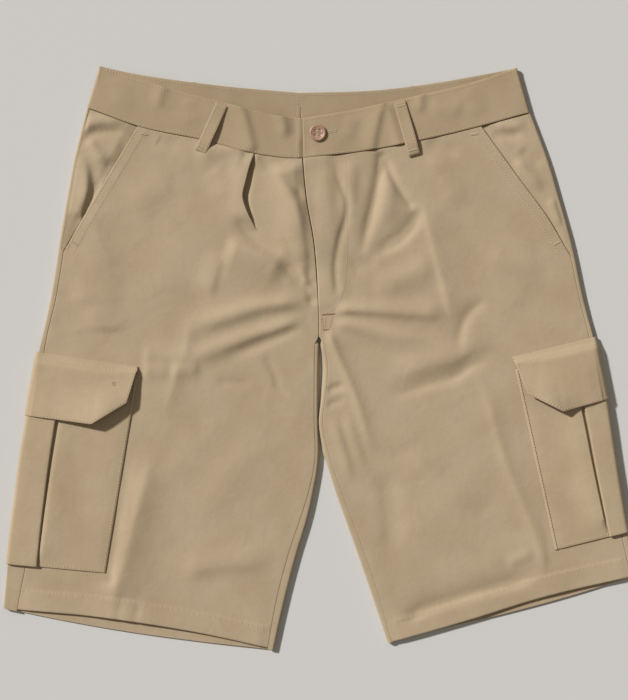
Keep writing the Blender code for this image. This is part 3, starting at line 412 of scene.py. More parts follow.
def points_along(path, step):
    """Points every few millimetres along a smooth curve through the given ones."""
    path = np.asarray(path, float)
    chord = np.concatenate([[0], np.cumsum(np.hypot(*np.diff(path, axis=0).T))])
    at = np.linspace(0, chord[-1], max(3, int(chord[-1] / step) + 1))
    return np.stack([smooth_curve(chord, path[:, axis], at) for axis in (0, 1)], axis=-1)


def along(points, share):
    """Points of a cornered edge, at shares of its length."""
    points = np.asarray(points, float)
    passed = np.concatenate([[0], np.cumsum(np.hypot(*np.diff(points, axis=0).T))])
    at = np.asarray(share) * passed[-1]
    return np.stack([np.interp(at, passed, points[:, axis]) for axis in (0, 1)], axis=-1)


def shares(length, step):
    """Shares of a length: closely spaced in its first and last millimetre, and even between."""
    edge = np.array(EDGE_OFFSETS)
    middle = np.linspace(2.0, length - 2.0, max(2, int((length - 4.0) / step) + 1))
    return np.concatenate([edge, middle, length - edge[::-1]]) / length


def edge_drop(distance, radius):
    """How far a rounded edge has dropped, at a distance in from it."""
    inside = np.clip(1 - distance / radius, 0, 1)
    return radius * (1 - np.sqrt(1 - inside ** 2))


def patch(top, bottom, outer, inner):
    """A flat region between four edges, as a function of u (outer to inner) and v (top to bottom)."""
    def place(u, v):
        u = np.asarray(u, float)
        v = np.asarray(v, float)
        u, v = np.broadcast_arrays(u, v)
        a = u[..., None]
        b = v[..., None]
        sides = (1 - b) * top(u) + b * bottom(u) + (1 - a) * outer(v) + a * inner(v)
        corners = ((1 - a) * (1 - b) * top(np.zeros(1))[0] + a * (1 - b) * top(np.ones(1))[0]
                   + (1 - a) * b * bottom(np.zeros(1))[0] + a * b * bottom(np.ones(1))[0])
        return sides - corners
    return place


def edge_across(points, start, end):
    """The edge across the shorts between x = start and x = end, as a function of u."""
    def place(u):
        x = start + (end - start) * u
        return np.stack([x, edge_y(points, x)], axis=-1)
    return place


def edge_down(position, start, end):
    """The edge down a leg from y = start to y = end, where x = position(y), as a function of v."""
    def place(v):
        y = start + (end - start) * v
        return np.stack([position(y), y], axis=-1)
    return place


def line_between(start, end):
    """A straight edge between two points, as a function of its share."""
    start = np.asarray(start, float)
    end = np.asarray(end, float)
    return lambda share: start + (end - start) * np.asarray(share, float)[..., None]


def width_of(place, v):
    """Straight width of a patch at share v of its length."""
    return np.hypot(*(place(np.ones_like(v), v) - place(np.zeros_like(v), v)).T).T


# ---- Creases ----

def crease_height(crease, line, x, y):
    """What one crease adds to the cloth's height at points x, y."""
    run = np.diff(line, axis=0)
    length = np.hypot(run[:, 0], run[:, 1])
    passed = np.concatenate([[0], np.cumsum(length)])
    nearest = np.full(x.shape, np.inf)
    offset = np.zeros(x.shape)
    share = np.zeros(x.shape)
    for (start_x, start_y), (run_x, run_y), size, before in zip(line, run, length, passed):
        t = np.clip(((x - start_x) * run_x + (y - start_y) * run_y) / size ** 2, 0, 1)
        away = np.hypot(x - start_x - t * run_x, y - start_y - t * run_y)
        side = np.sign((y - start_y) * run_x - (x - start_x) * run_y)
        nearer = away < nearest
        nearest = np.where(nearer, away, nearest)
        offset = np.where(nearer, away * side, offset)
        share = np.where(nearer, (before + t * size) / passed[-1], share)
    width = np.where(offset > 0, crease.left, crease.right)
    width = width * (crease.narrow + (1 - crease.narrow) * share)
    # A spine sharper than round still has the cloth's own bend at its top.
    bend = np.sqrt(offset ** 2 + WALL ** 2) - WALL
    return (crease.height * np.exp(-(bend / width) ** crease.spine)
            * soft_step(share / crease.rise) * soft_step((1 - share) / crease.fall))


def creased(creases, x, y):
    """The height that a table of creases adds at points x, y."""
    total = np.zeros(x.shape)
    for crease in creases:
        line = points_along(crease.path, 5.0)
        reach = 3.0 * max(crease.left, crease.right)
        low = line.min(axis=0) - reach
        high = line.max(axis=0) + reach
        near = (x > low[0]) & (x < high[0]) & (y > low[1]) & (y < high[1])
        total[near] += crease_height(crease, line, x[near], y[near])
    return total


def ripples(x, y, size, height):
    """Slight unevenness of washed cloth: overlapping ripples about one size across."""
    turns = 2 * math.pi / size
    return height * (np.sin(turns * (0.83 * x + 0.42 * y) + 1.3 * np.sin(turns * 0.31 * y))
                     + np.sin(turns * (0.57 * y - 0.71 * x) * 0.74 + 2.1)
                     + np.sin(turns * (0.21 * x + 1.13 * y) * 0.61 + 1.7 * np.sin(turns * 0.27 * x))) / 3


# ---- Meshes ----

def add_object(name, mesh, look, smooth_angle=50.0):
    """Puts a finished bmesh into the scene as one named object, with its faces pointing outwards."""
    bmesh.ops.recalc_face_normals(mesh, faces=mesh.faces[:])
    if mesh.calc_volume(signed=True) < 0:
        bmesh.ops.reverse_faces(mesh, faces=mesh.faces[:])
    data = bpy.data.meshes.new(name)
    mesh.to_mesh(data)
    mesh.free()
    data.shade_smooth()
    data.set_sharp_from_angle(angle=math.radians(smooth_angle))
    data.materials.append(look)
    made = bpy.data.objects.new(name, data)
    bpy.context.scene.collection.objects.link(made)
    return made


def cloth(name, outer, inner, look):
    """A closed wall of cloth between two matching grids of points, and a tree of its faces."""
    rows, columns = outer.shape[:2]
    mesh = bmesh.new()
    bmesh.ops.create_grid(mesh, x_segments=columns - 1, y_segments=rows - 1, size=1)
    order = {vertex.co.to_tuple(4): index for index, vertex in enumerate(mesh.verts)}
    first = list(mesh.verts)
    made = bmesh.ops.extrude_face_region(mesh, geom=mesh.faces[:], use_keep_orig=True)["geom"]
    inner_points = (inner.reshape(-1, 3) * MM).tolist()
    for vertex in (item for item in made if isinstance(item, bmesh.types.BMVert)):
        vertex.co = inner_points[order[vertex.co.to_tuple(4)]]
    for vertex, point in zip(first, (outer.reshape(-1, 3) * MM).tolist()):
        vertex.co = point
    tree = BVHTree.FromBMesh(mesh)
    return add_object(name, mesh, look), tree


def raised(spots, height):
    """Points in space from a grid of points in plan and their heights."""
    return np.concatenate([spots, np.broadcast_to(height, spots.shape[:2])[..., None]], axis=-1)


# ---- Stitching ----

# A row of stitches: its path in plan, whether it is on the underside, the spacing and length of
# its stitches, whether they lie across the row, as in a bar tack, and whether the thread is the
# deeper one.
Row = namedtuple("Row", "path under pitch long across deep",
                 defaults=(False, STITCH_PITCH, STITCH_LENGTH, False, False))


def bar_tack(start, end, width=3.0, under=False, deep=False):
    """A row of close stitches laid across its own line."""
    return Row((start, end), under, TACK_PITCH, width, True, deep)


def stitches(name, tree, rows, look):
    """Rows of stitches lying on a piece of cloth, joined in one mesh."""
    mesh = bmesh.new()
    for row in rows:
        path = np.asarray(row.path, float)
        length = np.hypot(*np.diff(path, axis=0).T).sum()
        count = max(2, int(length / row.pitch))
        spots = along(path, (np.arange(count) + 0.5) / count)
        ends = along(path, np.clip((np.arange(count) + 1.0) / count, 0, 1))
        for (x, y), (ahead_x, ahead_y) in zip(spots, ends):
            start = Vector((x * MM, y * MM, -0.05 if row.under else 0.05))
            spot, normal, _, _ = tree.ray_cast(start, Vector((0, 0, 1 if row.under else -1)))
            if spot is None:
                continue
            run = Vector((ahead_x - x, ahead_y - y, 0)).normalized()
            if row.across:
                run = Vector((-run.y, run.x, 0))
            if (normal.z < 0) != row.under:
                normal = -normal
            run = (run - normal * run.dot(normal)).normalized()
            aside = normal.cross(run)
            frame_of = Matrix((run * row.long / 2 * MM, aside * THREAD_WIDTH / 2 * MM,
                               normal * THREAD_WIDTH * 0.36 * MM)).transposed().to_4x4()
            place = Matrix.Translation(spot + normal * 0.08 * MM) @ frame_of
            made = bmesh.ops.create_icosphere(mesh, subdivisions=1, radius=1.0, matrix=place)["verts"]
            if row.deep:
                for face in {face for vertex in made for face in vertex.link_faces}:
                    face.material_index = 1
    stitching = add_object(name, mesh, look, 180.0)
    stitching.data.materials.append(deep_thread())
    return stitching


def sew(name, node, faces, look, rows=()):
    """One piece of cloth on its CAD solid, with its stitching."""
    piece, tree = cloth(name, *faces, LOOKS[look]())
    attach(piece, "root")
    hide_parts(node)
    if rows:
        stitching = stitches(name + "_stitching", tree, rows, LOOKS["thread"]())
        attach(stitching, "root")
    return piece


# ---- Materials ----

def linear(colour):
    """A colour from an sRGB hex value, turned to linear, with full alpha."""
    values = [int(colour[start:start + 2], 16) / 255 for start in (0, 2, 4)]
    return (*(v / 12.92 if v <= 0.04045 else ((v + 0.055) / 1.055) ** 2.4 for v in values), 1.0)


def add_node(tree, kind, settings=None, **links):
    """Adds a node: settings by input name or attribute, and links as input name = socket."""
    node = tree.nodes.new(kind)
    for key, value in (settings or {}).items():
        if isinstance(key, int) or key in node.inputs:
            node.inputs[key].default_value = value
        else:
            setattr(node, key, value)
    for key, socket in links.items():
        tree.links.new(socket, node.inputs[key.replace("_", " ")])
    return node


def blank_material(name):
    """An empty node tree with its output."""
    look = bpy.data.materials.new(name)
    look.use_nodes = True
    look.node_tree.nodes.clear()
    return look, look.node_tree


def twill(name, light, dark, turn):
    """Cotton twill, piece-dyed and washed: matt, with a fine diagonal rib and faint uneven dye."""
    if name in bpy.data.materials:
        return bpy.data.materials[name]
    sizes = bpy.context.scene.shorts_cloth
    look, tree = blank_material(name)
    coordinates = add_node(tree, "ShaderNodeTexCoord").outputs["Object"]
    turned = add_node(tree, "ShaderNodeMapping", {"Rotation": (0, 0, math.radians(turn))},
                      Vector=coordinates)
    # Uneven dye: soft patches some centimetres across, and a finer cloudiness within them.
    patches = add_node(tree, "ShaderNodeTexNoise", {"Scale": 1 / sizes.patch_size, "Detail": 3.0,
                                                    "Roughness": 0.55}, Vector=coordinates)
    yarn = add_node(tree, "ShaderNodeTexNoise", {"Scale": 1 / sizes.yarn_size, "Detail": 2.0},
                    Vector=coordinates)
    mixed = add_node(tree, "ShaderNodeMath", {"operation": "MULTIPLY_ADD", 1: 0.35},
                     Value=yarn.outputs["Fac"])
    tree.links.new(patches.outputs["Fac"], mixed.inputs[2])
    tone = add_node(tree, "ShaderNodeValToRGB", Fac=mixed.outputs["Value"])
    tone.color_ramp.elements[0].position = 0.42
    tone.color_ramp.elements[0].color = linear(dark)
    tone.color_ramp.elements[1].position = 0.92
    tone.color_ramp.elements[1].color = linear(light)
    # The rib is drawn about twice as coarse as the real one, which is too fine to show.
    rib = add_node(tree, "ShaderNodeTexWave", {"wave_type": "BANDS", "bands_direction": "DIAGONAL",
                                               "Scale": 2 * math.pi / 20 / sizes.rib_spacing,
                                               "Distortion": 1.2, "Detail": 1.0},
                   Vector=turned.outputs["Vector"])
    rib_bump = add_node(tree, "ShaderNodeBump", {"Strength": 0.35, "Distance": 0.00012},
                        Height=rib.outputs["Fac"])
    # Washing leaves the surface slightly crumpled between its creases.
    crumple = add_node(tree, "ShaderNodeTexNoise", {"Scale": 1 / sizes.crumple_size, "Detail": 4.0,
                                                    "Roughness": 0.5, "Distortion": 0.4},
                       Vector=coordinates)
    bump = add_node(tree, "ShaderNodeBump", {"Strength": 0.6, "Distance": 0.0012},
                    Height=crumple.outputs["Fac"], Normal=rib_bump.outputs["Normal"])
    shader = add_node(tree, "ShaderNodeBsdfPrincipled",
                      {"Roughness": 0.88, "IOR": 1.46, "Specular IOR Level": 0.25, "Sheen Weight": 0.12,
                       "Sheen Roughness": 0.5}, Normal=bump.outputs["Normal"])
    tree.links.new(tone.outputs["Color"], shader.inputs["Base Color"])
    add_node(tree, "ShaderNodeOutputMaterial", Surface=shader.outputs["BSDF"])
    return look


def body_twill():
    """The legs' twill."""
    cloth_colours = bpy.context.scene.shorts_cloth
    return twill("cotton twill body", cloth_colours.body_light, cloth_colours.body_dark, 8)


def band_twill():
    """The waistband's twill, cut across the grain, a shade deeper."""
    cloth_colours = bpy.context.scene.shorts_cloth
    return twill("cotton twill waistband", cloth_colours.band_light, cloth_colours.band_dark, 80)


def pocket_twill():
    """The cargo pockets' twill, a shade lighter than the legs."""
    cloth_colours = bpy.context.scene.shorts_cloth
    return twill("cotton twill pockets", cloth_colours.pocket_light, cloth_colours.pocket_dark, -8)


def thread():
    """The thread of the seams, a shade lighter than the cloth."""
    return sewing_thread("polyester sewing thread", "B09B7C", "D2BF9E")


def deep_thread():
    """The thread of the crotch and flap tacks, a reddish brown."""
    return sewing_thread("polyester tacking thread", "86634A", "B08A6C")


def sewing_thread(name, dark, light):
    """Spun polyester sewing thread: twisted, so that each stitch catches a little more light."""
    if name in bpy.data.materials:
        return bpy.data.materials[name]
    look, tree = blank_material(name)
    coordinates = add_node(tree, "ShaderNodeTexCoord").outputs["Object"]
    twist = add_node(tree, "ShaderNodeTexNoise", {"Scale": 900.0, "Detail": 2.0}, Vector=coordinates)
    tone = add_node(tree, "ShaderNodeValToRGB", Fac=twist.outputs["Fac"])
    tone.color_ramp.elements[0].color = linear(dark)
    tone.color_ramp.elements[1].color = linear(light)
    bump = add_node(tree, "ShaderNodeBump", {"Strength": 0.5, "Distance": 0.0001},
                    Height=twist.outputs["Fac"])
    shader = add_node(tree, "ShaderNodeBsdfPrincipled", {"Roughness": 0.6, "Sheen Weight": 0.2},
                      Normal=bump.outputs["Normal"])
    tree.links.new(tone.outputs["Color"], shader.inputs["Base Color"])
    add_node(tree, "ShaderNodeOutputMaterial", Surface=shader.outputs["BSDF"])
    return look


def button_resin():
    """Cast polyester resin, turned and tumbled: satin, with faint clouding in the casting."""
    name = "cast polyester resin"
    if name in bpy.data.materials:
        return bpy.data.materials[name]
    look, tree = blank_material(name)
    coordinates = add_node(tree, "ShaderNodeTexCoord").outputs["Object"]
    cloud = add_node(tree, "ShaderNodeTexNoise", {"Scale": 140.0, "Detail": 3.0, "Distortion": 0.8},
                     Vector=coordinates)
    tone = add_node(tree, "ShaderNodeValToRGB", Fac=cloud.outputs["Fac"])
    tone.color_ramp.elements[0].position = 0.3
    tone.color_ramp.elements[0].color = linear(bpy.context.scene.shorts_button.dark)
    tone.color_ramp.elements[1].position = 0.75
    tone.color_ramp.elements[1].color = linear(bpy.context.scene.shorts_button.light)
    shader = add_node(tree, "ShaderNodeBsdfPrincipled",
                      {"Roughness": 0.38, "IOR": 1.55, "Coat Weight": 0.15, "Coat Roughness": 0.25})
    tree.links.new(tone.outputs["Color"], shader.inputs["Base Color"])
    add_node(tree, "ShaderNodeOutputMaterial", Surface=shader.outputs["BSDF"])
    return look


LOOKS = {"body": body_twill, "band": band_twill, "pocket": pocket_twill, "thread": thread,
         "resin": button_resin}


# ---- Backs ----

def back_patch(leg):
    """Plan of the whole leg, from the outside of its outer turn to its inner edge."""
    hem_start, hem_end = leg.hem_back[0], leg.hem_back[-1]
    seam = [Point(p.x, p.y - GAP) for p in leg.seam_back]

    def outer_x(y):
        return leg_value(leg, "outer", y)

    def inner_x(y):
        return np.where(y >= CROTCH, centre_line(y) + leg.side * GAP / 2, leg_value(leg, "inner", y))
    top = edge_across(seam, float(outer_x(seam[0].y)), float(inner_x(seam[-1].y)))
    bottom = edge_across(leg.hem_back, float(outer_x(hem_start.y)), float(inner_x(hem_end.y)))
    outer = edge_down(outer_x, top(np.zeros(1))[0][1], bottom(np.zeros(1))[0][1])
    inner = edge_down(inner_x, top(np.ones(1))[0][1], bottom(np.ones(1))[0][1])
    return patch(top, bottom, outer, inner)


def back_level(u, v):
    """Underside of the back: raised at the waistband, and where the cargo pocket lies beneath it."""
    top = soft_step((v - 0.44) / 0.038)
    bottom = soft_step((0.957 - v) / 0.047)
    inward = soft_step((0.44 - u) / 0.04)
    waist = soft_step((0.05 - v) / 0.032) * BAND_UNDER
    return np.maximum(waist, LEG_RAISED * top * bottom * inward)


def foot_reach(y):
    """How far the back of each leg spreads on the floor towards the other leg, below the crotch."""
    gap = leg_value(LEGS["r"], "inner", y) - leg_value(LEGS["l"], "inner", y)
    return np.clip(gap / 2 - 0.15, 0, 2.8) * soft_step((CROTCH - y) / 8) * soft_step((y + 112) / 16)


def turn_angles():
    """Angles round a turn of the cloth, from its top to its underside."""
    return np.radians(np.linspace(90, 270, TURN_STEPS + 1))


def turn(angle):
    """Place on a turn of the cloth at an angle: flatter above and below than a circle."""
    return tuple(math.copysign(abs(value) ** TURN_SHAPE, value) if abs(value) > 1e-6 else 0.0
                 for value in (math.cos(angle), math.sin(angle)))


def back_faces(leg):
    """Both faces of a back panel, which lies under the leg and comes round both sides onto the front."""
    place = back_patch(leg)
    v = shares(float(np.hypot(*(place(0.5, 1.0) - place(0.5, 0.0)))), BACK_STEP)[:, None]
    width = width_of(place, v)
    y_out = place(np.zeros_like(v), v)[..., 1]
    y_in = place(np.ones_like(v), v)[..., 1]
    drop = (leg.seam_back[0].y - y_out[-1, 0]) * (1 - v)
    wall = WALL + (HEM_WALL - WALL) * soft_step((HEM_DEPTH + 1.5 - drop) / 1.5)
    side_level = back_level(np.zeros_like(v), v)
    side_radius = (FRONT_TOP - side_level) / 2
    wrap = np.where(y_out > MOUTH_END, side_radius + 0.35, leg_value(leg, "wrap_out", y_out))
    crook = (FRONT_TOP / 2) * soft_step((CROTCH - y_in) / 8)
    wrap_in = leg_value(leg, "wrap_in", y_in)
    angles = turn_angles()
    sections = {0: ([], []), 1: ([], [])}

    def add(outer_s, outer_z, inner_s, inner_z):
        shape = v.shape
        for index, values in ((0, (outer_s, outer_z)), (1, (inner_s, inner_z))):
            for axis in (0, 1):
                sections[index][axis].append(np.broadcast_to(values[axis], shape))

    # The strip that comes onto the front, from the side seam out to the turn.
    for offset in (0.0, 0.3, 0.9):
        dip = edge_drop(offset, 0.9) * 0.5
        add(wrap - offset, FRONT_TOP - dip, wrap - offset, FRONT_TOP - wall)
    for share in (0.75, 0.5, 0.25):
        at = side_radius + (wrap - 0.9 - side_radius) * share
        add(at, FRONT_TOP, at, FRONT_TOP - wall)
    for c, z in map(turn, angles):
        small = np.maximum(side_radius - wall, 0.25)
        add(side_radius * (1 + c), side_level + side_radius * (1 + z),
            side_radius + small * c, side_level + side_radius + small * z)
    # The underside, from turn to turn.
    first = side_radius + 0.8
    last = width - np.where(crook > 0.01, crook + 0.8, 10.0)
    for share in np.linspace(0, 1, int(float(width.mean()) / BACK_STEP)):
        s = first + (last - first) * share
        spot = place(s / width, v)
        dent = creased(BACK_CREASES, spot[..., 0], spot[..., 1])
        dent = dent + ripples(spot[..., 0], spot[..., 1], 46, 0.10) + 0.10
        fade = soft_step((s - first) / 12) * soft_step((last - s) / 12)
        fade = fade * soft_step(v / 0.04) * soft_step((1 - v) / 0.05)
        under = back_level(s / width, v)
        dent = np.maximum(dent, 0) * fade * (under < 0.05)
        add(s, under + dent, s, under + wall + dent)
    # The turn at the inseam, or the flat run to the centre seam above the crotch.
    level_in = back_level(np.ones_like(v), v)
    for step, angle in enumerate(angles[::-1]):
        share = step / TURN_STEPS
        flat_s = width - 9.2 * (1 - share)
        small = np.maximum(crook - wall, 0.1)
        c, z = turn(angle)
        foot = foot_reach(y_in) * (0.5 - 0.5 * z) ** 2
        turned_out = width - crook * (1 + c) + foot
        turned_in = width - crook - small * c + foot
        k = soft_step((CROTCH - y_in) / 8)
        add(flat_s + (turned_out - flat_s) * k,
            level_in + (crook * (1 + z)) * k,
            flat_s + (turned_in - flat_s) * k,
            level_in + wall + (crook + small * z - wall) * k)
    k = soft_step((CROTCH - y_in) / 8)
    for share in (0.5, 1.0):
        reach = crook + np.maximum(wrap_in - crook, 0.3) * share
        add(width - reach * k - 0.02 * (1 - share) * (1 - k), level_in + FRONT_TOP * k - level_in * k,
            width - reach * k - 0.02 * (1 - share) * (1 - k), level_in + wall + (FRONT_TOP - 2 * wall) * k)
    faces = []
    for index in (0, 1):
        s = np.concatenate(sections[index][0], axis=1)
        z = np.concatenate(sections[index][1], axis=1)
        spots = place(s / width, v)
        limit = edge_y(leg.seam_front, spots[..., 0]) - GAP
        spots[..., 1] = np.where(z > FRONT_TOP / 2, np.minimum(spots[..., 1], limit), spots[..., 1])
        faces.append(raised(spots, z))
    return faces


def side_seam(leg):
    """Plan of the front edge of the back's wrap, down the outside of the leg."""
    place = back_patch(leg)
    v = np.linspace(0, 1, 120)[:, None]
    y_out = place(np.zeros_like(v), v)[..., 1]
    share = leg_value(leg, "wrap_out", y_out) / width_of(place, v)
    return place(share, v)[:, 0]


def inseam(leg):
    """Plan of the front edge of the back's wrap, down the inside of the leg."""
    place = back_patch(leg)
    v = np.linspace(0, 1, 160)[:, None]
    y_in = place(np.ones_like(v), v)[..., 1]
    wrap = leg_value(leg, "wrap_in", y_in) * soft_step((CROTCH - y_in) / 8)
    share = 1 - wrap / width_of(place, v)
    return place(share, v)[:, 0]


def x_on(line, y):
    """Place of a polyline that runs down the shorts, at y."""
    return np.interp(y, line[::-1, 1], line[::-1, 0])


# ---- Fronts ----

def mouth_x(leg, y):
    """The slant pocket's edge at height y."""
    return edge_x(leg.mouth, y)


def calm(leg, x, y):
    """0 where the cloth lies flat, at the sides and under the cargo pocket, and 1 away from them."""
    out = np.abs(x - leg_value(leg, "outer", y)) - leg_value(leg, "wrap_out", y)
    still = soft_step(out / 14)
    inside = np.abs(x - leg_value(leg, "inner", y)) - leg_value(leg, "wrap_in", y)
    still = still * np.where(y < CROTCH, soft_step((inside + 1) / 8), 1.0)
    cargo = CARGO["l" if leg.side < 0 else "r"]
    bag_edge = x_on(np.array((cargo.bag_top[-1], cargo.bag_bottom[-1]), float), y)
    across = soft_step((leg.side * (x - bag_edge) + 12) / 9)
    pocket = across * soft_step((y + 238) / 10) * soft_step((34 - y) / 10)
    return still * (1 - pocket)


def pleat_height(x, y):
    """The left pleat: a lip that stands up and drops at once into the opening beside it."""
    lip = edge_x(PLEAT_LIP, y)
    gap = np.maximum(edge_x(PLEAT_UNDERLAY, y) - lip, 1.2)
    east = x - lip
    run = soft_step((PLEAT_TOP - y) / 14) * soft_step((y - PLEAT_FOOT) / 22)
    ridge = PLEAT_HEIGHT * np.exp(-(np.minimum(east, 0) / PLEAT_WIDTH) ** 2)
    trough = -PLEAT_DEPTH * (1 - soft_step((east - 0.9) / (gap * 1.1)))
    drop = np.clip(east / 0.9, 0, 1)
    return run * (ridge * (1 - drop) + trough * drop)


def front_height(leg, x, y):
    """Top face of a front panel."""
    fold = creased(FRONT_CREASES, x, y)
    if leg.side < 0:
        in_pleat = soft_step((y - PLEAT_FOOT) / 20) * np.exp(-((x - edge_x(PLEAT_LIP, y)) / 14) ** 2)
        fold = fold * (1 - in_pleat) + pleat_height(x, y)
    else:
        from_middle = x - centre_line(y)
        fly = soft_step((from_middle + 0.5) / 1.5) * soft_step((36 - from_middle) / 16)
        fold = fold + 1.8 * fly * soft_step((y - 44) / 30)
    fold = fold + ripples(x, y, 62, 0.32) + ripples(y, x, 27, 0.10)
    fold = fold * calm(leg, x, y)
    over_shield = (y > 80) & (np.abs(x - centre_line(y)) < 40)
    over_facing = (y > MOUTH_END - 12) & (np.abs(x) > np.abs(mouth_x(leg, y)) - FACING_UNDER - 8)
    fold = np.where(over_shield, np.maximum(fold, -1.5), fold)
    fold = np.where(over_facing, np.maximum(fold, -0.1), fold)
    return FRONT_TOP + np.maximum(fold, -3.0)


def front_edge(leg, seam, y):
    """Outer edge of the front panel: the pocket mouth, then the side seam."""
    inside = leg.side * x_on(seam, y) - SEAM_GAP
    return leg.side * np.minimum(leg.side * mouth_x(leg, y), inside)


def front_inner(leg, seam, y):
    """Inner edge of the front panel: the fly, the centre seam, then the inseam."""
    slot = FLY_SLOT * soft_step((y - 56) / 40) if leg.side < 0 else 0.0
    above = centre_line(y) + leg.side * (GAP / 2) - slot
    return np.where(y >= CROTCH, above, x_on(seam, y) + leg.side * SEAM_GAP)


def front_patch(leg):
    """Plan of the front panel, between the band's lower edge and the seams of the back."""
    outer_seam = side_seam(leg)
    inner_seam = inseam(leg)
    start = float(mouth_x(leg, leg.seam_front[1].y - SEAM_GAP))
    end = float(front_inner(leg, inner_seam, leg.seam_front[-1].y - SEAM_GAP))
    seam = [Point(p.x, p.y - SEAM_GAP) for p in leg.seam_front]
    top = edge_across(seam, start, end)
    hem_start = float(front_edge(leg, outer_seam, leg.hem_front[0].y))
    hem_end = float(front_inner(leg, inner_seam, leg.hem_front[-1].y))
    bottom = edge_across(leg.hem_front, hem_start, hem_end)
    outer = edge_down(lambda y: front_edge(leg, outer_seam, y),
                      top(np.zeros(1))[0][1], bottom(np.zeros(1))[0][1])
    inner = edge_down(lambda y: front_inner(leg, inner_seam, y),
                      top(np.ones(1))[0][1], bottom(np.ones(1))[0][1])
    return patch(top, bottom, outer, inner)


def follow_lip(spots, u):
    """Slides the grid sideways so that one column runs exactly down the left pleat's lip."""
    column = int(np.argmin(np.abs(u - 0.70)))
    y = spots[:, column, 1]
    hold = soft_step((PLEAT_TOP + 6 - y) / 6) * soft_step((y - PLEAT_FOOT + 34) / 34)
    shift = (edge_x(PLEAT_LIP, y) - spots[:, column, 0]) * hold
    near = np.exp(-((u - u[column]) / 0.13) ** 2)
    spots[..., 0] += shift[:, None] * near[None, :]
    beside = spots[:, column, 0] + 0.9
    spots[:, column + 1, 0] += (beside - spots[:, column + 1, 0]) * hold
    return spots


def front_faces(leg):
    """Both faces of a front panel, with its creases and its turned-up hem."""
    place = front_patch(leg)
    length = float(leg.seam_front[1].y - leg.hem_front[1].y)
    v = shares(length, FRONT_STEP)
    u = shares(float(width_of(place, np.array(0.5))), FRONT_STEP)
    spots = place(u[None, :], v[:, None])
    if leg.side < 0:
        spots = follow_lip(spots, u)
    x = spots[..., 0]
    y = spots[..., 1]
    height = front_height(leg, x, y)
    from_top = (v * length)[:, None]
    from_hem = ((1 - v) * length)[:, None]
    across = width_of(place, v[:, None])
    from_out = u[None, :] * across
    from_in = (1 - u)[None, :] * across
    hem = soft_step((HEM_DEPTH + 1.2 - from_hem) / 1.2)
    wave = 0.5 + 0.5 * np.sin(x / 17.0 + 1.2 * np.sin(x / 41.0))
    height = height + hem * (0.45 + 0.5 * wave) * soft_step(from_out / 12) * soft_step(from_in / 12)
    if leg.side < 0:
        # The front hem stands off the back one where the two come apart.
        height = height + 2.2 * np.exp(-((x + 190) / 60) ** 2) * soft_step((26 - from_hem) / 26)
    pucker = 0.22 * np.sin(x * 2 * math.pi / 5.5) * np.exp(-((from_hem - HEM_DEPTH) / 2.2) ** 2)
    height = height + pucker
    mouth = (y > MOUTH_END + 2) * np.ones_like(from_out)
    height = height + mouth * 0.2 * soft_step((14 - from_out) / 5)
    wall = WALL + (HEM_WALL - WALL) * hem
    top = height - 0.6 * edge_drop(from_top, 1.0)
    top = top - np.where(y > MOUTH_END, edge_drop(from_out, 0.6), 0.5 * edge_drop(from_out, 0.9))
    fly = (y > CROTCH) & (leg.side > 0)
    top = top - np.where(fly, edge_drop(from_in, 0.6), 0.5 * edge_drop(from_in, 0.9))
    top = top - edge_drop(from_hem, 1.1)
    under = height - wall + edge_drop(from_hem, 1.1)
    under = under + np.where(fly, edge_drop(from_in, 0.5), 0) - 0.9 * edge_drop(from_top, 1.0)
    under = np.minimum(under, top - 0.15)
    return raised(spots, top), raised(spots, under)


def offset_inside(leg, y, distance):
    """Points a distance in from the slant mouth's edge."""
    line = np.stack([mouth_x(leg, y), y], axis=-1)
    run = np.gradient(line, axis=0)
    run /= np.hypot(run[:, 0], run[:, 1])[:, None]
    aside = np.stack([run[:, 1], -run[:, 0]], axis=-1)
    inward = -leg.side * np.sign(aside[:, 0])[:, None]
    return line + aside * inward * distance


def front_rows(leg):
    """Stitching of a front panel: pocket mouth, hem and, on the right, the fly."""
    mouth = offset_inside(leg, np.linspace(leg.mouth[0].y - 4, MOUTH_END - 2, 40), 9.5)
    hem_x = np.linspace(leg.hem_front[0].x - leg.side * 8, leg.hem_front[-1].x + leg.side * 9, 60)
    hem = np.stack([hem_x, edge_y(leg.hem_front, hem_x) + HEM_DEPTH], axis=-1)
    lip = offset_inside(leg, np.linspace(leg.mouth[0].y - 4, MOUTH_END, 40), 1.6)
    rows = [Row(mouth), Row(lip), Row(hem)]
    top = leg.mouth[0]
    end = offset_inside(leg, np.array([MOUTH_END + 8, MOUTH_END + 7]), 1.5)[0]
    end_in = offset_inside(leg, np.array([MOUTH_END + 8, MOUTH_END + 7]), 9.0)[0]
    rows.append(bar_tack((top.x - leg.side * 3, top.y - 8), (top.x - leg.side * 11, top.y - 9)))
    rows.append(bar_tack(end, end_in, 2.4))
    if leg.side > 0:
        rows.append(Row(points_along(((26, 202), (28, 133), (27, 90), (23, 66), (14, 50), (2, 45)), 2.0)))
        rows.append(bar_tack((1.5, 44.5), (15.5, 45.5), 2.2, deep=True))
        rows.append(Row(((2.2, 42), (3.5, 29)), pitch=1.3, long=1.0, deep=True))
        rows.append(Row(((5.5, 42), (6.0, 29)), pitch=1.7, long=1.0, deep=True))
        rows.append(Row(((13.5, 43), (10, 31)), pitch=1.4, long=1.0, deep=True))
        rows.append(bar_tack((3, 28.5), (9, 29.5), 1.6, deep=True))
        seam_y = np.linspace(42, CROTCH + 3, 12)
        rows.append(Row(np.stack([centre_line(seam_y) + 2.2, seam_y], axis=-1)))
    return rows


# ---- Facings and fly shield ----

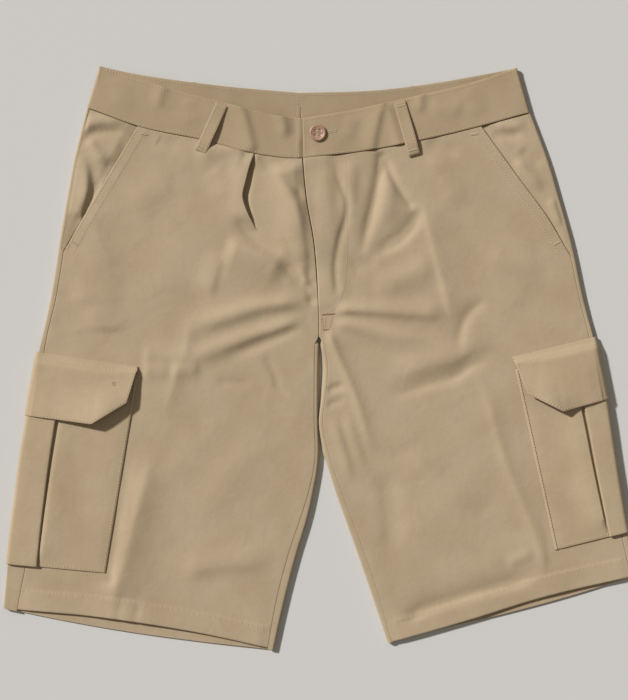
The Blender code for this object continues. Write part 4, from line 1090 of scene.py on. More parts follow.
def facing_faces(key, leg):
    """Both faces of the hip facing behind the pocket mouth."""
    bottom_y = MOUTH_END - 16
    seam = [Point(p.x, p.y - GAP) for p in leg.seam_front]

    def outer_x(y):
        return leg_value(leg, "outer", y) - leg.side * 2.9
    start = float(outer_x(seam[0].y))
    end = float(mouth_x(leg, seam[1].y)) - leg.side * FACING_UNDER
    top = edge_across(seam, start, end)
    foot = float(outer_x(bottom_y))
    outer = edge_down(outer_x, top(np.zeros(1))[0][1], bottom_y)
    bottom = line_between((foot, bottom_y), (foot - leg.side * 10, bottom_y))
    inner = line_between(top(np.ones(1))[0], bottom(np.ones(1))[0])
    place = patch(top, bottom, outer, inner)
    u = shares(70.0, 1.6)
    v = shares(150.0, 1.8)
    spots = place(u[None, :], v[:, None])
    x = spots[..., 0]
    y = spots[..., 1]
    edge = np.abs(x) - np.abs(mouth_x(leg, y))
    from_out = np.abs(outer_x(y)) - np.abs(x)
    lying = LINER_TOP - 0.5 * soft_step((4 - edge) / 6) + 1.0 * soft_step((edge - 3) / 9)
    height = lying + (FRONT_TOP - 0.15 - lying) * soft_step((13 - from_out) / 13)
    shown = soft_step((edge + 1) / 5) * soft_step((y - MOUTH_END + 2) / 14)
    fold = 1.2 * creased(FACING_CREASES[key], x, y) + ripples(x, y, 26, 0.35)
    height = height + fold * shown * soft_step((from_out + 1) / 5)
    height = np.where(edge < 0.5, np.minimum(height, LINER_TOP - 0.6), height)
    height = np.maximum(height, POCKET_UNDER + WALL)
    top_drop = edge_drop((v * 150)[:, None], 1.2)
    return raised(spots, height - top_drop), raised(spots, height - WALL - 0.6 * top_drop)


def shield_faces():
    """Both faces of the fly shield."""
    v = shares(113.0, 2.2)
    u = shares(45.0, 2.0)
    y = 205.0 - 113.0 * v[:, None]
    offset = -15.0 + 45.0 * u[None, :]
    spots = np.stack(np.broadcast_arrays(centre_line(y) + offset, y - 0.1 * offset), axis=-1)
    height = 2.75 + ripples(spots[..., 0], spots[..., 1], 30, 0.05)
    return raised(spots, height), raised(spots, height - WALL)


# ---- Waistband ----

def band_lap(x):
    """How far the right front of the band stands up over the left end that passes under it."""
    return soft_step((36 - x) / 24) * (0.3 + 0.6 * soft_step((x + 14) / 10))


def band_height(leg, x, y):
    """Outer face of the front of the band."""
    fold = creased(BAND_CREASES, x, y) + ripples(x, y, 44, 0.22)
    if leg.side > 0:
        return BAND_TOP + band_lap(x) + np.maximum(fold, -0.1) * soft_step((x + 18) / 8)
    under_lap = soft_step((x + 19.4) / 1.4)
    return BAND_TOP + (fold + 0.3 * soft_step((x + 28) / 8)) * (1 - under_lap) - 2.0 * under_lap


def back_lean(v, distance):
    """How far the back of the band leans up at its top edge, away from the side turn."""
    return 3.2 * np.clip(1 - v / 0.75, 0, 1) * soft_step((distance - 8) / 60)


def band_patches(leg):
    """Plans of the front and the back of the band."""
    side_top = leg.top_front[0]
    side_bottom = leg.seam_front[0]
    side_line = line_between(side_top, side_bottom)
    front_top = [*leg.top_front]
    front_seam = [*leg.seam_front]
    if leg.side < 0:
        front_top.append(BAND_END_TOP)
        front_seam.append(BAND_END_BOTTOM)
    front_end = line_between(front_top[-1], front_seam[-1])
    middle = leg.side * SEAM_GAP / 2
    back_top = leg.top_back[-1]
    back_seam = leg.seam_back[-1]
    back_end = line_between((back_top.x + middle, back_top.y), (back_seam.x + middle, back_seam.y))
    front = patch(edge_across(front_top, side_top.x, front_top[-1].x),
                  edge_across(front_seam, side_bottom.x, front_seam[-1].x), side_line, front_end)
    back = patch(edge_across(leg.top_back, side_top.x, back_top.x + middle),
                 edge_across(leg.seam_back, side_bottom.x, back_seam.x + middle), side_line, back_end)
    return front, back


def band_faces(leg):
    """Both faces of half the waistband, from the middle of the front round to the middle of the back."""
    front, back = band_patches(leg)
    v = shares(46.0, BAND_STEP)[:, None]
    front_width = width_of(front, v)
    back_width = width_of(back, v)
    edge = np.minimum(v, 1 - v) * 46.0
    outside = []
    inside = []

    def add(spots, outer_z, inner_z, roll=1.0):
        drop = edge_drop(edge, 0.9) * roll
        outside.append(raised(spots, outer_z + drop * np.sign(inner_z - outer_z)))
        inside.append(raised(spots, inner_z - 0.8 * drop * np.sign(inner_z - outer_z)))
    front_at = np.concatenate([[0.0, 0.2, 0.5, 1.0], np.linspace(2.5, float(front_width.mean()) - 6, 110)])
    for distance in front_at:
        spots = front(1 - distance / front_width, v)
        height = band_height(leg, spots[..., 0], spots[..., 1])
        end = edge_drop(np.full_like(v, distance), 0.9)
        add(spots, height - end, height - BAND_WALL + 0.6 * end)
    radius = (BAND_TOP - BAND_UNDER) / 2
    for angle in turn_angles():
        reach = radius * (1 + math.cos(angle))
        tight = radius + (radius - BAND_WALL) * math.cos(angle)
        plan, width = (front, front_width) if angle < math.pi else (back, back_width)
        outside.append(raised(plan(reach / width, v),
                              BAND_UNDER + radius * (1 + math.sin(angle)) + 0 * v))
        inside.append(raised(plan(tight / width, v),
                             BAND_UNDER + radius + (radius - BAND_WALL) * math.sin(angle) + 0 * v))
    for distance in np.linspace(6.0, float(back_width.mean()) - 2.5, 84):
        spots = back(distance / back_width, v)
        lean = back_lean(v, distance) + ripples(spots[..., 0], spots[..., 1], 60, 0.12)
        add(spots, BAND_UNDER + lean, BAND_UNDER + BAND_WALL + lean)
    for distance in (1.0, 0.5, 0.2, 0.0):
        spots = back(1 - distance / back_width, v)
        lean = back_lean(v, float(back_width.mean()) - distance)
        upper = BAND_UNDER + BAND_WALL + lean - edge_drop(np.full_like(v, distance), 0.9)
        add(spots, BAND_UNDER + lean, upper)
    return np.concatenate(outside, axis=1), np.concatenate(inside, axis=1)


def band_rows(leg):
    """Stitching of the band: along its top edges and lower seams, its ends and the buttonhole."""
    front_x = np.linspace(leg.top_front[0].x - leg.side * 6, leg.top_front[-1].x + leg.side * 2, 60)
    seam_x = np.linspace(leg.seam_front[0].x - leg.side * 5, leg.seam_front[-1].x + leg.side * 2, 60)
    back_x = np.linspace(leg.top_back[0].x - leg.side * 6, leg.top_back[-1].x + leg.side * 3, 60)
    low_x = np.linspace(leg.seam_back[0].x - leg.side * 5, leg.seam_back[-1].x + leg.side * 3, 60)
    rows = [Row(np.stack([front_x, edge_y(leg.top_front, front_x) - 2.8], axis=-1)),
            Row(np.stack([seam_x, edge_y(leg.seam_front, seam_x) + 1.8], axis=-1)),
            Row(np.stack([back_x, edge_y(leg.top_back, back_x) - 2.8], axis=-1)),
            Row(np.stack([back_x, edge_y(leg.top_back, back_x) - 2.8], axis=-1), under=True),
            Row(np.stack([low_x, edge_y(leg.seam_back, low_x) + 1.8], axis=-1), under=True)]
    if leg.side > 0:
        rows.append(Row(((-16.2, 244), (-15.6, 210))))
        rows.append(Row(((7.5, 233.2), (16.0, 234.6)), pitch=0.8, long=1.6, across=True))
        rows.append(Row(((7.5, 231.6), (16.0, 233.0)), pitch=0.8, long=1.6, across=True))
        rows.append(bar_tack((15.6, 231.8), (16.4, 235.4), 2.0))
    else:
        rows.append(Row(((-27.5, 270), (-27.0, 250))))
        rows.append(Row(((-22.6, 271), (-22.3, 250))))
    return rows


# ---- Cargo pockets ----

def cargo_patch(leg, top, bottom, proud):
    """Plan of a flap or a bag, whose outer edge stands proud of the leg's own side."""
    def outer(share):
        y = top[0].y + (bottom[0].y - top[0].y) * share
        return np.stack([leg_value(leg, "outer", y) + leg.side * proud, y], axis=-1)
    inner = line_between(top[-1], bottom[-1])
    upper = (tuple(outer(np.zeros(1))[0]), *top[1:])
    lower = (tuple(outer(np.ones(1))[0]), *bottom[1:])
    return patch(lambda u: along(upper, u), lambda u: along(lower, u), outer, inner)


def section(points, step):
    """A section's (s, z) points for both faces, with more points added along its long runs."""
    filled = [points[0]]
    for before, after in zip(points, points[1:]):
        run = np.hypot(after[0][0] - before[0][0], after[0][1] - before[0][1]).max()
        count = max(1, int(run / step))
        for index in range(1, count + 1):
            t = index / count
            filled.append(tuple(tuple(a + (b - a) * t for a, b in zip(face_a, face_b))
                                for face_a, face_b in zip(before, after)))
    return filled


def going(ends, v):
    """What goes evenly from one value at the top of a piece to another at its bottom."""
    return ends[0] + (ends[1] - ends[0]) * v


def side_turn(radius, base):
    """Points of both faces round the turn at the side of a pocket or a flap, down to its base."""
    return [((radius * (1 + math.cos(angle)), base + radius * (1 + math.sin(angle))),
             (radius + (radius - WALL) * math.cos(angle),
              base + radius + (radius - WALL) * math.sin(angle)))
            for angle in turn_angles()]


def stacked(points, index, v):
    """Places across and heights of one face of a section, as two grids."""
    return [np.concatenate([np.broadcast_to(point[index][axis], v.shape) for point in points], axis=1)
            for axis in (0, 1)]


def bag_faces(leg, cargo):
    """Both faces of a cargo pocket: front, box pleat's folds, strip, side and back."""
    place = cargo_patch(leg, cargo.bag_top, cargo.bag_bottom, WALL + GAP)
    v = shares(BAG_LENGTH, POCKET_STEP)[:, None]
    width = width_of(place, v)
    strip = going(cargo.strip, v)
    floor = POCKET_TOP - WALL
    one = np.ones_like(v)
    middle = (floor + POCKET_TOP + WALL + GAP) / 2
    tight = GAP / 2
    wide = WALL + GAP / 2
    puff = going(cargo.puff, v) * soft_step(v / 0.1) * soft_step((1 - v) / 0.12)
    points = []
    for offset in (0.0, 0.3, 0.9, 1.7, 2.6):
        drop = 0.5 * edge_drop(offset, 2.2)
        points.append(((width - offset, (POCKET_TOP - drop) * one), (width - offset, floor * one)))
    trench = going(cargo.trench, v)
    beside = strip + trench + 0.8
    for share in np.linspace(0.97, 0.0, 16):
        s = beside + (width - beside) * share
        swell = puff * np.exp(-((s - beside) / 18) ** 2)
        sink = 0.6 * soft_step((s - width + 9) / 8)
        points.append(((s, POCKET_TOP + swell - sink), (s, floor + swell)))
    points.append(((strip + trench, POCKET_TOP + puff * 0.6), (strip + trench, floor + puff * 0.5)))
    points.append(((strip + trench * 0.6, POCKET_TOP * one), (strip + trench * 0.6, floor * one)))
    fold_in = strip - PLEAT_UNDER
    for angle in np.radians(np.linspace(270, 90, FOLD_STEPS)):
        points.append(((fold_in + tight * math.cos(angle), middle + tight * math.sin(angle) * one),
                       (fold_in + wide * math.cos(angle), middle + wide * math.sin(angle) * one)))
    lip = 0.5 * soft_step(v / 0.15) * soft_step((1 - v) / 0.25)
    for angle in np.radians(np.linspace(-90, 90, FOLD_STEPS)):
        centre = middle + WALL + GAP + lip
        points.append(((strip - wide + wide * math.cos(angle), centre + wide * math.sin(angle)),
                       (strip - wide + tight * math.cos(angle), centre + tight * math.sin(angle))))
    high = POCKET_TOP + PLEAT_RISE
    radius = (high - POCKET_UNDER) / 2
    points.extend(side_turn(radius * one, POCKET_UNDER))
    points.append(((width - 0.9, POCKET_UNDER * one), (width - 0.9, (POCKET_UNDER + WALL) * one)))
    points.append(((width, (POCKET_UNDER + 0.4) * one), (width, (POCKET_UNDER + WALL) * one)))
    points = section(points, POCKET_STEP)
    end = edge_drop(np.minimum(v, 1 - v) * BAG_LENGTH, 0.9)
    faces = []
    for index in (0, 1):
        s, z = stacked(points, index, v)
        spots = place(s / width, v)
        shown = z > floor - 0.05
        waves = ripples(spots[..., 0], spots[..., 1], 38, 0.2) + 0.2
        z = z + np.where(shown, waves * soft_step((s - 4) / 6), 0)
        if index == 0:
            z = z - np.where(shown, end, -0.4 * end)
        faces.append(raised(spots, z))
    return faces


def inset_path(points, distance, side):
    """A cornered path moved inwards from a flap's or a bag's edge."""
    points = np.asarray(points, float)
    runs = np.diff(points, axis=0)
    normals = np.stack([-runs[:, 1], runs[:, 0]], axis=-1)
    normals /= np.hypot(normals[:, 0], normals[:, 1])[:, None]
    normals *= side
    moved = [points[0] + normals[0] * distance]
    for before, after, corner in zip(normals, normals[1:], points[1:]):
        bisector = before + after
        moved.append(corner + bisector * distance / (bisector @ before))
    moved.append(points[-1] + normals[-1] * distance)
    return np.array(moved)


def bag_rows(leg, cargo):
    """Stitching of a bag, on both its faces: along its free side and its bottom."""
    top = cargo.bag_top[-1]
    corner = cargo.bag_bottom[-1]
    outer = cargo.bag_bottom[0]
    path = ((top.x, top.y), (corner.x, corner.y), (outer.x - leg.side * 4, outer.y))
    inset = inset_path(path, 2.2, leg.side)
    return [Row(inset), Row(inset, under=True)]


def flap_faces(leg, cargo):
    """Both faces of a flap: its front with a clipped corner, the side, and its back half."""
    place = cargo_patch(leg, cargo.flap_top, cargo.flap_bottom, 2 * (WALL + GAP))
    v = shares(FLAP_LENGTH, FLAP_STEP)[:, None]
    width = width_of(place, v)
    one = np.ones_like(v)
    over_pocket = POCKET_TOP + PLEAT_RISE + GAP
    flat = FRONT_TOP + GAP
    rise = soft_step(v / 0.2)
    side_level = flat + (over_pocket - flat) * rise
    radius = (side_level + WALL) / 2

    def under_face(s):
        share = np.clip(s / width, 0, 1)
        tip = cargo.lift[0] * np.exp(-((share - 0.66) / 0.24) ** 2) * soft_step((v - 0.15) / 0.85) ** 1.5
        edge = 1.5 * soft_step(share / 0.2) + cargo.lift[1] * soft_step((share - 0.4) / 0.6)
        edge = edge * soft_step((v - 0.1) / 0.9)
        swell = 0.4 * np.sin(share * math.pi) * rise
        return side_level + tip + edge + swell * soft_step((s - 8) / 12)
    points = []
    for distance in EDGE_OFFSETS:
        s = width - distance
        drop = edge_drop(distance, 0.8)
        points.append(((s, under_face(s) + WALL - drop), (s, under_face(s) + 0.3 * drop)))
    for share in np.linspace(0.985, 0.0, 48):
        s = radius + 0.3 + (width - radius - 0.3) * share
        points.append(((s, under_face(s) + WALL), (s, under_face(s))))
    points.extend(side_turn(radius * one, 0.0))
    for share in np.linspace(0.06, 1.0, 26):
        points.append(((width * share, 0 * one), (width * share, WALL * one)))
    faces = []
    end = edge_drop(np.minimum(v, 1 - v) * FLAP_LENGTH, 0.8)
    for index in (0, 1):
        s, z = stacked(points, index, v)
        spots = place(s / width, v)
        over = z > FRONT_TOP - 0.5
        waves = ripples(spots[..., 0], spots[..., 1], 30, 0.16)
        z = z + np.where(over, waves * soft_step((s - 6) / 10) * rise, 0)
        if index == 0:
            z = z - np.where(over, end, -0.5 * end)
        faces.append(raised(spots, z))
    return faces


def flap_rows(leg, cargo):
    """Stitching of a flap: below its top edge, round its free edges and, on the left, a small ring."""
    top_out, top_in = cargo.flap_top
    seam = ((top_out.x - leg.side * 2, top_out.y - 7.5), (top_in.x, top_in.y - 7.5))
    edge = [top_in, cargo.flap_bottom[2], cargo.flap_bottom[1], cargo.flap_bottom[0]]
    rows = [Row(inset_path(seam, 0.0, 1)), Row(inset_path(edge, 2.2, leg.side)),
            Row(inset_path(edge, 2.2, leg.side), under=True),
            Row(inset_path(seam, 0.0, 1), under=True),
            bar_tack((top_in.x + leg.side * 1.5, top_in.y - 1.5),
                     (top_in.x + leg.side * 1.5, top_in.y - 8), 2.2)]
    if leg.side < 0:
        angles = np.radians(np.linspace(0, 360, 13))
        ring = np.stack([-211.5 + 1.5 * np.cos(angles), -26.5 + 1.8 * np.sin(angles)], axis=-1)
        rows.append(Row(ring, pitch=0.9, long=1.1, deep=True))
    return rows


# ---- Belt loops ----

def loop_faces(top, bottom, base, left_rise, right_rise):
    """Both faces of a belt loop: stitched flat at its top, standing off below, and tucked under."""
    run = np.array((bottom.x - top.x, bottom.y - top.y), float)
    length = math.hypot(*run)
    run /= length
    aside = np.array((-run[1], run[0]))
    along_it = np.concatenate([[0.0, 0.3, 0.9], np.linspace(2.0, length - 3.0, 30),
                               length - 3.0 * np.cos(np.linspace(0, math.pi / 2, 7))[1:]])[:, None]
    across = np.concatenate([[0.0, 0.3, 0.9], np.linspace(2.0, LOOP_WIDTH - 2.0, 7),
                             LOOP_WIDTH - np.array([0.9, 0.3, 0.0])])[None, :] - LOOP_WIDTH / 2
    t = along_it / length
    spots = np.array(top)[None, None] + run * along_it[..., None] + aside * across[..., None]
    # The strip runs downwards, so its right edge is at the positive side of the cross direction.
    mix = (across * np.sign(aside[0]) / LOOP_WIDTH) + 0.5
    rise = left_rise + (right_rise - left_rise) * mix
    standing = soft_step((t - 0.05) / 0.6) * soft_step((1.0 - t) / 0.3) ** 0.6
    tuck = np.sqrt(np.clip(1 - (np.clip(along_it - length + 3.0, 0, 3.0) / 3.0) ** 2, 0, 1))
    under = base + GAP + rise * standing - 0.8 * (1 - tuck)
    edge = edge_drop(LOOP_WIDTH / 2 - np.abs(across), 0.8)
    start = edge_drop(along_it, 0.8)
    return raised(spots, under + LOOP_WALL - edge - start), raised(spots, under + 0.3 * edge)


def loop_rows(top, bottom, under=False):
    """Stitching of a belt loop: a row near each long edge, and a tack across each end."""
    run = np.array((bottom.x - top.x, bottom.y - top.y), float)
    run /= math.hypot(*run)
    aside = np.array((-run[1], run[0]))
    start = np.array(top)
    end = np.array(bottom)
    rows = [Row((start + run * 2 + aside * side, end - run * 3 + aside * side), under)
            for side in (-4.2, 4.2)]
    for spot in (start + run * 4, end - run * 5):
        rows.append(bar_tack(spot - aside * 4.6, spot + aside * 4.6, 1.8, under))
    return rows


def flat_loop_faces(top):
    """Both faces of a belt loop pressed flat under the back of the band."""
    u = shares(LOOP_WIDTH, 1.6)[None, :]
    v = shares(BACK_LOOP_LENGTH - 2.0, 2.0)[:, None]
    spots = np.stack(np.broadcast_arrays(top.x + LOOP_WIDTH * (0.5 - u),
                                         top.y - 2.0 - (BACK_LOOP_LENGTH - 2.0) * v), axis=-1)
    edge = edge_drop(np.minimum(u, 1 - u) * LOOP_WIDTH, 0.5) + 0 * v
    return raised(spots, 0.6 * edge), raised(spots, WALL - 0.3 * edge)


# ---- Button ----

def make_button_mesh(base, look):
    """Turned disc with a rim and a dished middle, drilled with four holes."""
    mesh = bmesh.new()
    radius = BUTTON_DIAMETER / 2
    top = BUTTON_THICKNESS
    dish = radius - BUTTON_RIM
    outline = [(0, 0), (radius - 2.2, 0), (radius - 1.2, 0.3), (radius - 0.4, 0.9), (radius, 1.3),
               (radius - 0.1, 1.9), (radius - 0.5, 2.3), (radius - 1.0, top), (dish + 0.5, top),
               (dish + 0.1, top - 0.15), (dish - 0.4, top - BUTTON_DISH + 0.15),
               (dish - 0.9, top - BUTTON_DISH), (0, top - BUTTON_DISH)]
    spots = [mesh.verts.new((s * MM, 0, z * MM)) for s, z in outline]
    edges = [mesh.edges.new(pair) for pair in zip(spots, spots[1:])]
    bmesh.ops.spin(mesh, geom=spots + edges, axis=(0, 0, 1), cent=(0, 0, 0), angle=2 * math.pi,
                   steps=64, use_merge=True)
    bmesh.ops.remove_doubles(mesh, verts=mesh.verts[:], dist=0.000005)
    bmesh.ops.translate(mesh, verts=mesh.verts[:], vec=(BUTTON_X * MM, BUTTON_Y * MM, base * MM))
    button = add_object("shank_button", mesh, look, 35.0)
    drills = bmesh.new()
    for row in (-1, 1):
        for side in (-1, 1):
            spot = Vector((BUTTON_X + row * HOLE_SPACING / 2, BUTTON_Y + side * HOLE_SPACING / 2, base)) * MM
            bmesh.ops.create_cone(drills, cap_ends=True, segments=20, radius1=HOLE_DIAMETER / 2 * MM,
                                  radius2=HOLE_DIAMETER / 2 * MM, depth=4 * BUTTON_THICKNESS * MM,
                                  matrix=Matrix.Translation(spot))
    cutter = add_object("drills", drills, look)
    cut = button.modifiers.new("holes", "BOOLEAN")
    cut.operation = "DIFFERENCE"
    cut.object = cutter
    bpy.context.view_layer.update()
    drilled = bpy.data.meshes.new_from_object(button.evaluated_get(bpy.context.evaluated_depsgraph_get()))
    button.modifiers.clear()
    button.data = drilled
    bpy.data.objects.remove(cutter)
    return button


def make_button_thread(base, look):
    """Thread that holds the button: two bars of three strands between its holes."""
    mesh = bmesh.new()
    level = base + BUTTON_THICKNESS - BUTTON_DISH + 0.15
    for side in (-1, 1):
        for strand in (-0.45, 0.0, 0.45):
            spot = Vector((BUTTON_X, BUTTON_Y + side * HOLE_SPACING / 2 + strand, level)) * MM
            sizes = Matrix.Diagonal((HOLE_SPACING * 0.62 * MM, 0.26 * MM, 0.32 * MM, 1.0))
            bmesh.ops.create_uvsphere(mesh, u_segments=10, v_segments=8, radius=1.0,
                                      matrix=Matrix.Translation(spot) @ sizes)
        for end in (-1, 1):
            spot = Vector((BUTTON_X + end * HOLE_SPACING / 2,
                           BUTTON_Y + side * HOLE_SPACING / 2, base + 1.0)) * MM
            bmesh.ops.create_cone(mesh, cap_ends=True, segments=12, radius1=0.7 * MM, radius2=0.7 * MM,
                                  depth=2.4 * MM, matrix=Matrix.Translation(spot))
    return add_object("button_thread", mesh, look, 60.0)


# ---- Settings ----

class ClothSettings(bpy.types.PropertyGroup):
    """Sizes and colours of the cloth."""
    rib_spacing: FloatProperty(name="Rib spacing", description="Distance between the twill's ribs",
                               default=0.0011, unit="LENGTH")
    crumple_size: FloatProperty(name="Crumple size", description="Size of the crumpling left by washing",
                                default=0.022, unit="LENGTH")
    patch_size: FloatProperty(name="Patch size", description="Size of the dye's soft patches",
                              default=0.055, unit="LENGTH")
    yarn_size: FloatProperty(name="Yarn size", description="Size of the yarn's unevenness",
                             default=0.0025, unit="LENGTH")
    body_light: StringProperty(name="Body light", description="Lighter tone of the legs, sRGB hex",
                               default="B8A488")
    body_dark: StringProperty(name="Body dark", description="Deeper tone of the legs, sRGB hex",
                               default="AC977A")
    band_light: StringProperty(name="Band light", description="Lighter tone of the band, sRGB hex",
                               default="B09B7E")
    band_dark: StringProperty(name="Band dark", description="Deeper tone of the band, sRGB hex",
                               default="A48F71")
    pocket_light: StringProperty(name="Pocket light", description="Lighter tone of the pockets, sRGB hex",
                                 default="B9A588")
    pocket_dark: StringProperty(name="Pocket dark", description="Deeper tone of the pockets, sRGB hex",
                                default="AE987A")


class ButtonSettings(bpy.types.PropertyGroup):
    """Colours of the button."""
    light: StringProperty(name="Light", description="Lighter tone of the resin, sRGB hex", default="B28F78")
    dark: StringProperty(name="Dark", description="Deeper tone of the resin, sRGB hex", default="A07C67")


class StageSettings(bpy.types.PropertyGroup):
    """Light, floor and camera."""
    key_strength: FloatProperty(name="Key strength", description="Strength of the main light",
                                default=3.8, min=0.0)
    key_height: FloatProperty(name="Key height", description="Angle of the main light above the floor",
                              default=math.radians(36), subtype="ANGLE")
    key_side: FloatProperty(name="Key side", description="Direction of the main light, from +Y towards -X",
                            default=math.radians(57), subtype="ANGLE")
    key_softness: FloatProperty(name="Key softness", description="Angular size of the main light",
                                default=math.radians(5), subtype="ANGLE")
    fill_strength: FloatProperty(name="Fill strength", description="Strength of the light from all round",
                                 default=0.24, min=0.0)
    floor_colour: FloatVectorProperty(name="Floor colour", description="Colour of the floor",
                                      subtype="COLOR", default=(0.62, 0.61, 0.59), min=0.0, max=1.0)
    view_height: FloatProperty(name="View height", description="Height of the camera over the shorts",
                               default=1.7026, unit="LENGTH")


# ---- Operators ----

class SHORTS_OT_backs(bpy.types.Operator):
    """Make the two back panels"""
    bl_idname = "shorts.backs"
    bl_label = "Back Panels"

    def execute(self, context):
        for key, leg in LEGS.items():
            hem_x = np.linspace(leg.hem_back[0].x - leg.side * 8, leg.hem_back[-1].x + leg.side * 9, 60)
            hem = np.stack([hem_x, edge_y(leg.hem_back, hem_x) + HEM_DEPTH], axis=-1)
            seam_y = np.linspace(leg.seam_back[-1].y - 4, CROTCH + 6, 40)
            seat = np.stack([centre_line(seam_y) + leg.side * 3.0, seam_y], axis=-1)
            rows = [Row(hem, under=True), Row(seat, under=True)]
            sew("back_cloth_" + key, "back_panel_" + key, back_faces(leg), "body",
                rows)
        return {"FINISHED"}


class SHORTS_OT_fronts(bpy.types.Operator):
    """Make the two front panels"""
    bl_idname = "shorts.fronts"
    bl_label = "Front Panels"

    def execute(self, context):
        for key, leg in LEGS.items():
            sew("front_cloth_" + key, "front_panel_" + key, front_faces(leg), "body",
                front_rows(leg))
        return {"FINISHED"}


class SHORTS_OT_liners(bpy.types.Operator):
    """Make the hip facings and the fly shield"""
    bl_idname = "shorts.liners"
    bl_label = "Facings and Fly Shield"

    def execute(self, context):
        for key, leg in LEGS.items():
            sew("hip_cloth_" + key, "hip_facing_" + key, facing_faces(key, leg), "body")
        sew("fly_cloth", "fly_shield", shield_faces(), "body")
        return {"FINISHED"}


class SHORTS_OT_waistband(bpy.types.Operator):
    """Make the two halves of the waistband"""
    bl_idname = "shorts.waistband"
    bl_label = "Waistband"

    def execute(self, context):
        for key, leg in LEGS.items():
            sew("band_cloth_" + key, "waistband_" + key, band_faces(leg), "band",
                band_rows(leg))
        return {"FINISHED"}


class SHORTS_OT_belt_loops(bpy.types.Operator):
    """Make the five belt loops"""
    bl_idname = "shorts.belt_loops"
    bl_label = "Belt Loops"

    def execute(self, context):
        for key, loop in FRONT_LOOPS.items():
            faces = loop_faces(loop.top, loop.bottom, BAND_TOP, loop.left_rise, loop.right_rise)
            sew("front_loop_cloth_" + key, "belt_loop_front_" + key, faces, "band",
                loop_rows(loop.top, loop.bottom))
        for key, top in BACK_LOOPS.items():
            foot = Point(top.x, top.y - BACK_LOOP_LENGTH)
            sew("back_loop_cloth_" + key, "belt_loop_back_" + key, flat_loop_faces(top), "band",
                loop_rows(top, foot, under=True))
        return {"FINISHED"}


class SHORTS_OT_pockets(bpy.types.Operator):
    """Make the two cargo pockets and their flaps"""
    bl_idname = "shorts.pockets"
    bl_label = "Cargo Pockets"

    def execute(self, context):
        for key, leg in LEGS.items():
            cargo = CARGO[key]
            sew("pocket_cloth_" + key, "cargo_pocket_" + key, bag_faces(leg, cargo), "pocket",
                bag_rows(leg, cargo))
            sew("flap_cloth_" + key, "cargo_flap_" + key, flap_faces(leg, cargo), "pocket",
                flap_rows(leg, cargo))
        return {"FINISHED"}


class SHORTS_OT_button(bpy.types.Operator):
    """Make the button and its thread"""
    bl_idname = "shorts.button"
    bl_label = "Button"

    def execute(self, context):
        base = BAND_TOP + 0.9 + GAP
        button = make_button_mesh(base, button_resin())
        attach(button, "root")
        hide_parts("button")
        tie = make_button_thread(base, thread())
        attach(tie, "root")
        return {"FINISHED"}


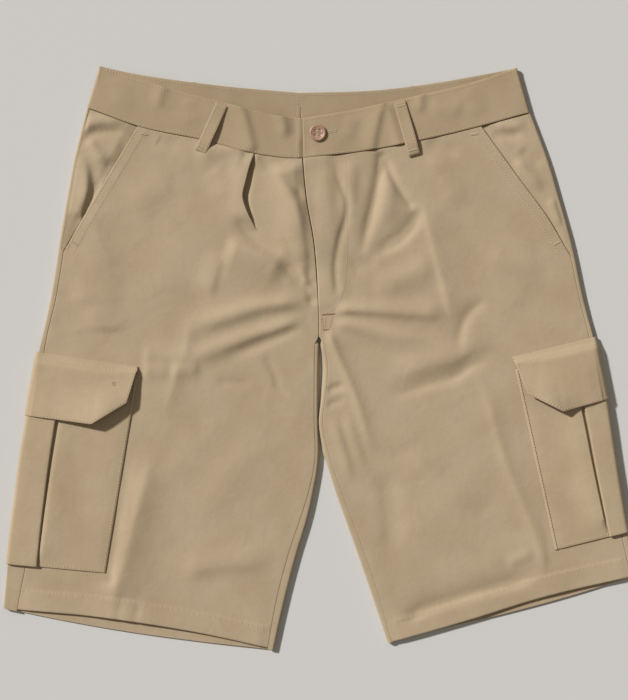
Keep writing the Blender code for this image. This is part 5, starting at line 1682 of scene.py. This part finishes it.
class SHORTS_OT_stage(bpy.types.Operator):
    """Make the floor, the light and the camera"""
    bl_idname = "shorts.stage"
    bl_label = "Stage"

    def execute(self, context):
        scene = context.scene
        settings = scene.shorts_stage
        mesh = bmesh.new()
        bmesh.ops.create_grid(mesh, x_segments=1, y_segments=1, size=6.0)
        bmesh.ops.translate(mesh, verts=mesh.verts[:], vec=(0, 0, -0.0004))
        data = bpy.data.meshes.new("floor")
        mesh.to_mesh(data)
        mesh.free()
        floor = bpy.data.objects.new("floor", data)
        scene.collection.objects.link(floor)
        paint, tree = blank_material("matt floor")
        shader = add_node(tree, "ShaderNodeBsdfPrincipled",
                          {"Base Color": (*settings.floor_colour, 1.0), "Roughness": 0.95})
        add_node(tree, "ShaderNodeOutputMaterial", Surface=shader.outputs["BSDF"])
        data.materials.append(paint)

        key = bpy.data.objects.new("key", bpy.data.lights.new("key", "SUN"))
        key.data.energy = settings.key_strength
        key.data.angle = settings.key_softness
        flat = math.cos(settings.key_height)
        towards = Vector((-math.sin(settings.key_side) * flat, math.cos(settings.key_side) * flat,
                          math.sin(settings.key_height)))
        key.rotation_euler = towards.to_track_quat("Z", "Y").to_euler()
        scene.collection.objects.link(key)

        world = bpy.data.worlds.new("soft light")
        world.use_nodes = True
        world.node_tree.nodes["Background"].inputs["Color"].default_value = (1.0, 0.94, 0.84, 1.0)
        world.node_tree.nodes["Background"].inputs["Strength"].default_value = settings.fill_strength
        scene.world = world
        scene.view_settings.view_transform = "Standard"

        camera = bpy.data.objects.new("camera", bpy.data.cameras.new("camera"))
        camera.data.lens = 85.0
        camera.data.sensor_width = 36.0
        camera.data.clip_end = 20.0
        camera.location = (-0.0062, 0.0082, settings.view_height + FRONT_TOP * MM)
        scene.collection.objects.link(camera)
        scene.camera = camera
        return {"FINISHED"}


class SHORTS_PT_panel(bpy.types.Panel):
    """Lists the pieces of the shorts"""
    bl_idname = "SHORTS_PT_panel"
    bl_label = "Cargo Shorts"
    bl_space_type = "VIEW_3D"
    bl_region_type = "UI"
    bl_category = "Shorts"

    def draw(self, context):
        for operator in OPERATORS:
            self.layout.operator(operator.bl_idname)
        scene = context.scene
        for settings in (scene.shorts_cloth, scene.shorts_button, scene.shorts_stage):
            box = self.layout.box()
            for name in settings.__annotations__:
                box.prop(settings, name)


OPERATORS = (SHORTS_OT_backs, SHORTS_OT_fronts, SHORTS_OT_liners, SHORTS_OT_waistband, SHORTS_OT_belt_loops,
             SHORTS_OT_pockets, SHORTS_OT_button, SHORTS_OT_stage)
CLASSES = (ClothSettings, ButtonSettings, StageSettings, *OPERATORS, SHORTS_PT_panel)


def register():
    for item in CLASSES:
        bpy.utils.register_class(item)
    bpy.types.Scene.shorts_cloth = PointerProperty(type=ClothSettings)
    bpy.types.Scene.shorts_button = PointerProperty(type=ButtonSettings)
    bpy.types.Scene.shorts_stage = PointerProperty(type=StageSettings)


def unregister():
    del bpy.types.Scene.shorts_stage
    del bpy.types.Scene.shorts_button
    del bpy.types.Scene.shorts_cloth
    for item in reversed(CLASSES):
        bpy.utils.unregister_class(item)


def main():
    """Makes every piece and the stage."""
    register()
    bpy.ops.shorts.backs()
    bpy.ops.shorts.fronts()
    bpy.ops.shorts.liners()
    bpy.ops.shorts.waistband()
    bpy.ops.shorts.belt_loops()
    bpy.ops.shorts.pockets()
    bpy.ops.shorts.button()
    bpy.ops.shorts.stage()


if __name__ == "__main__":
    main()
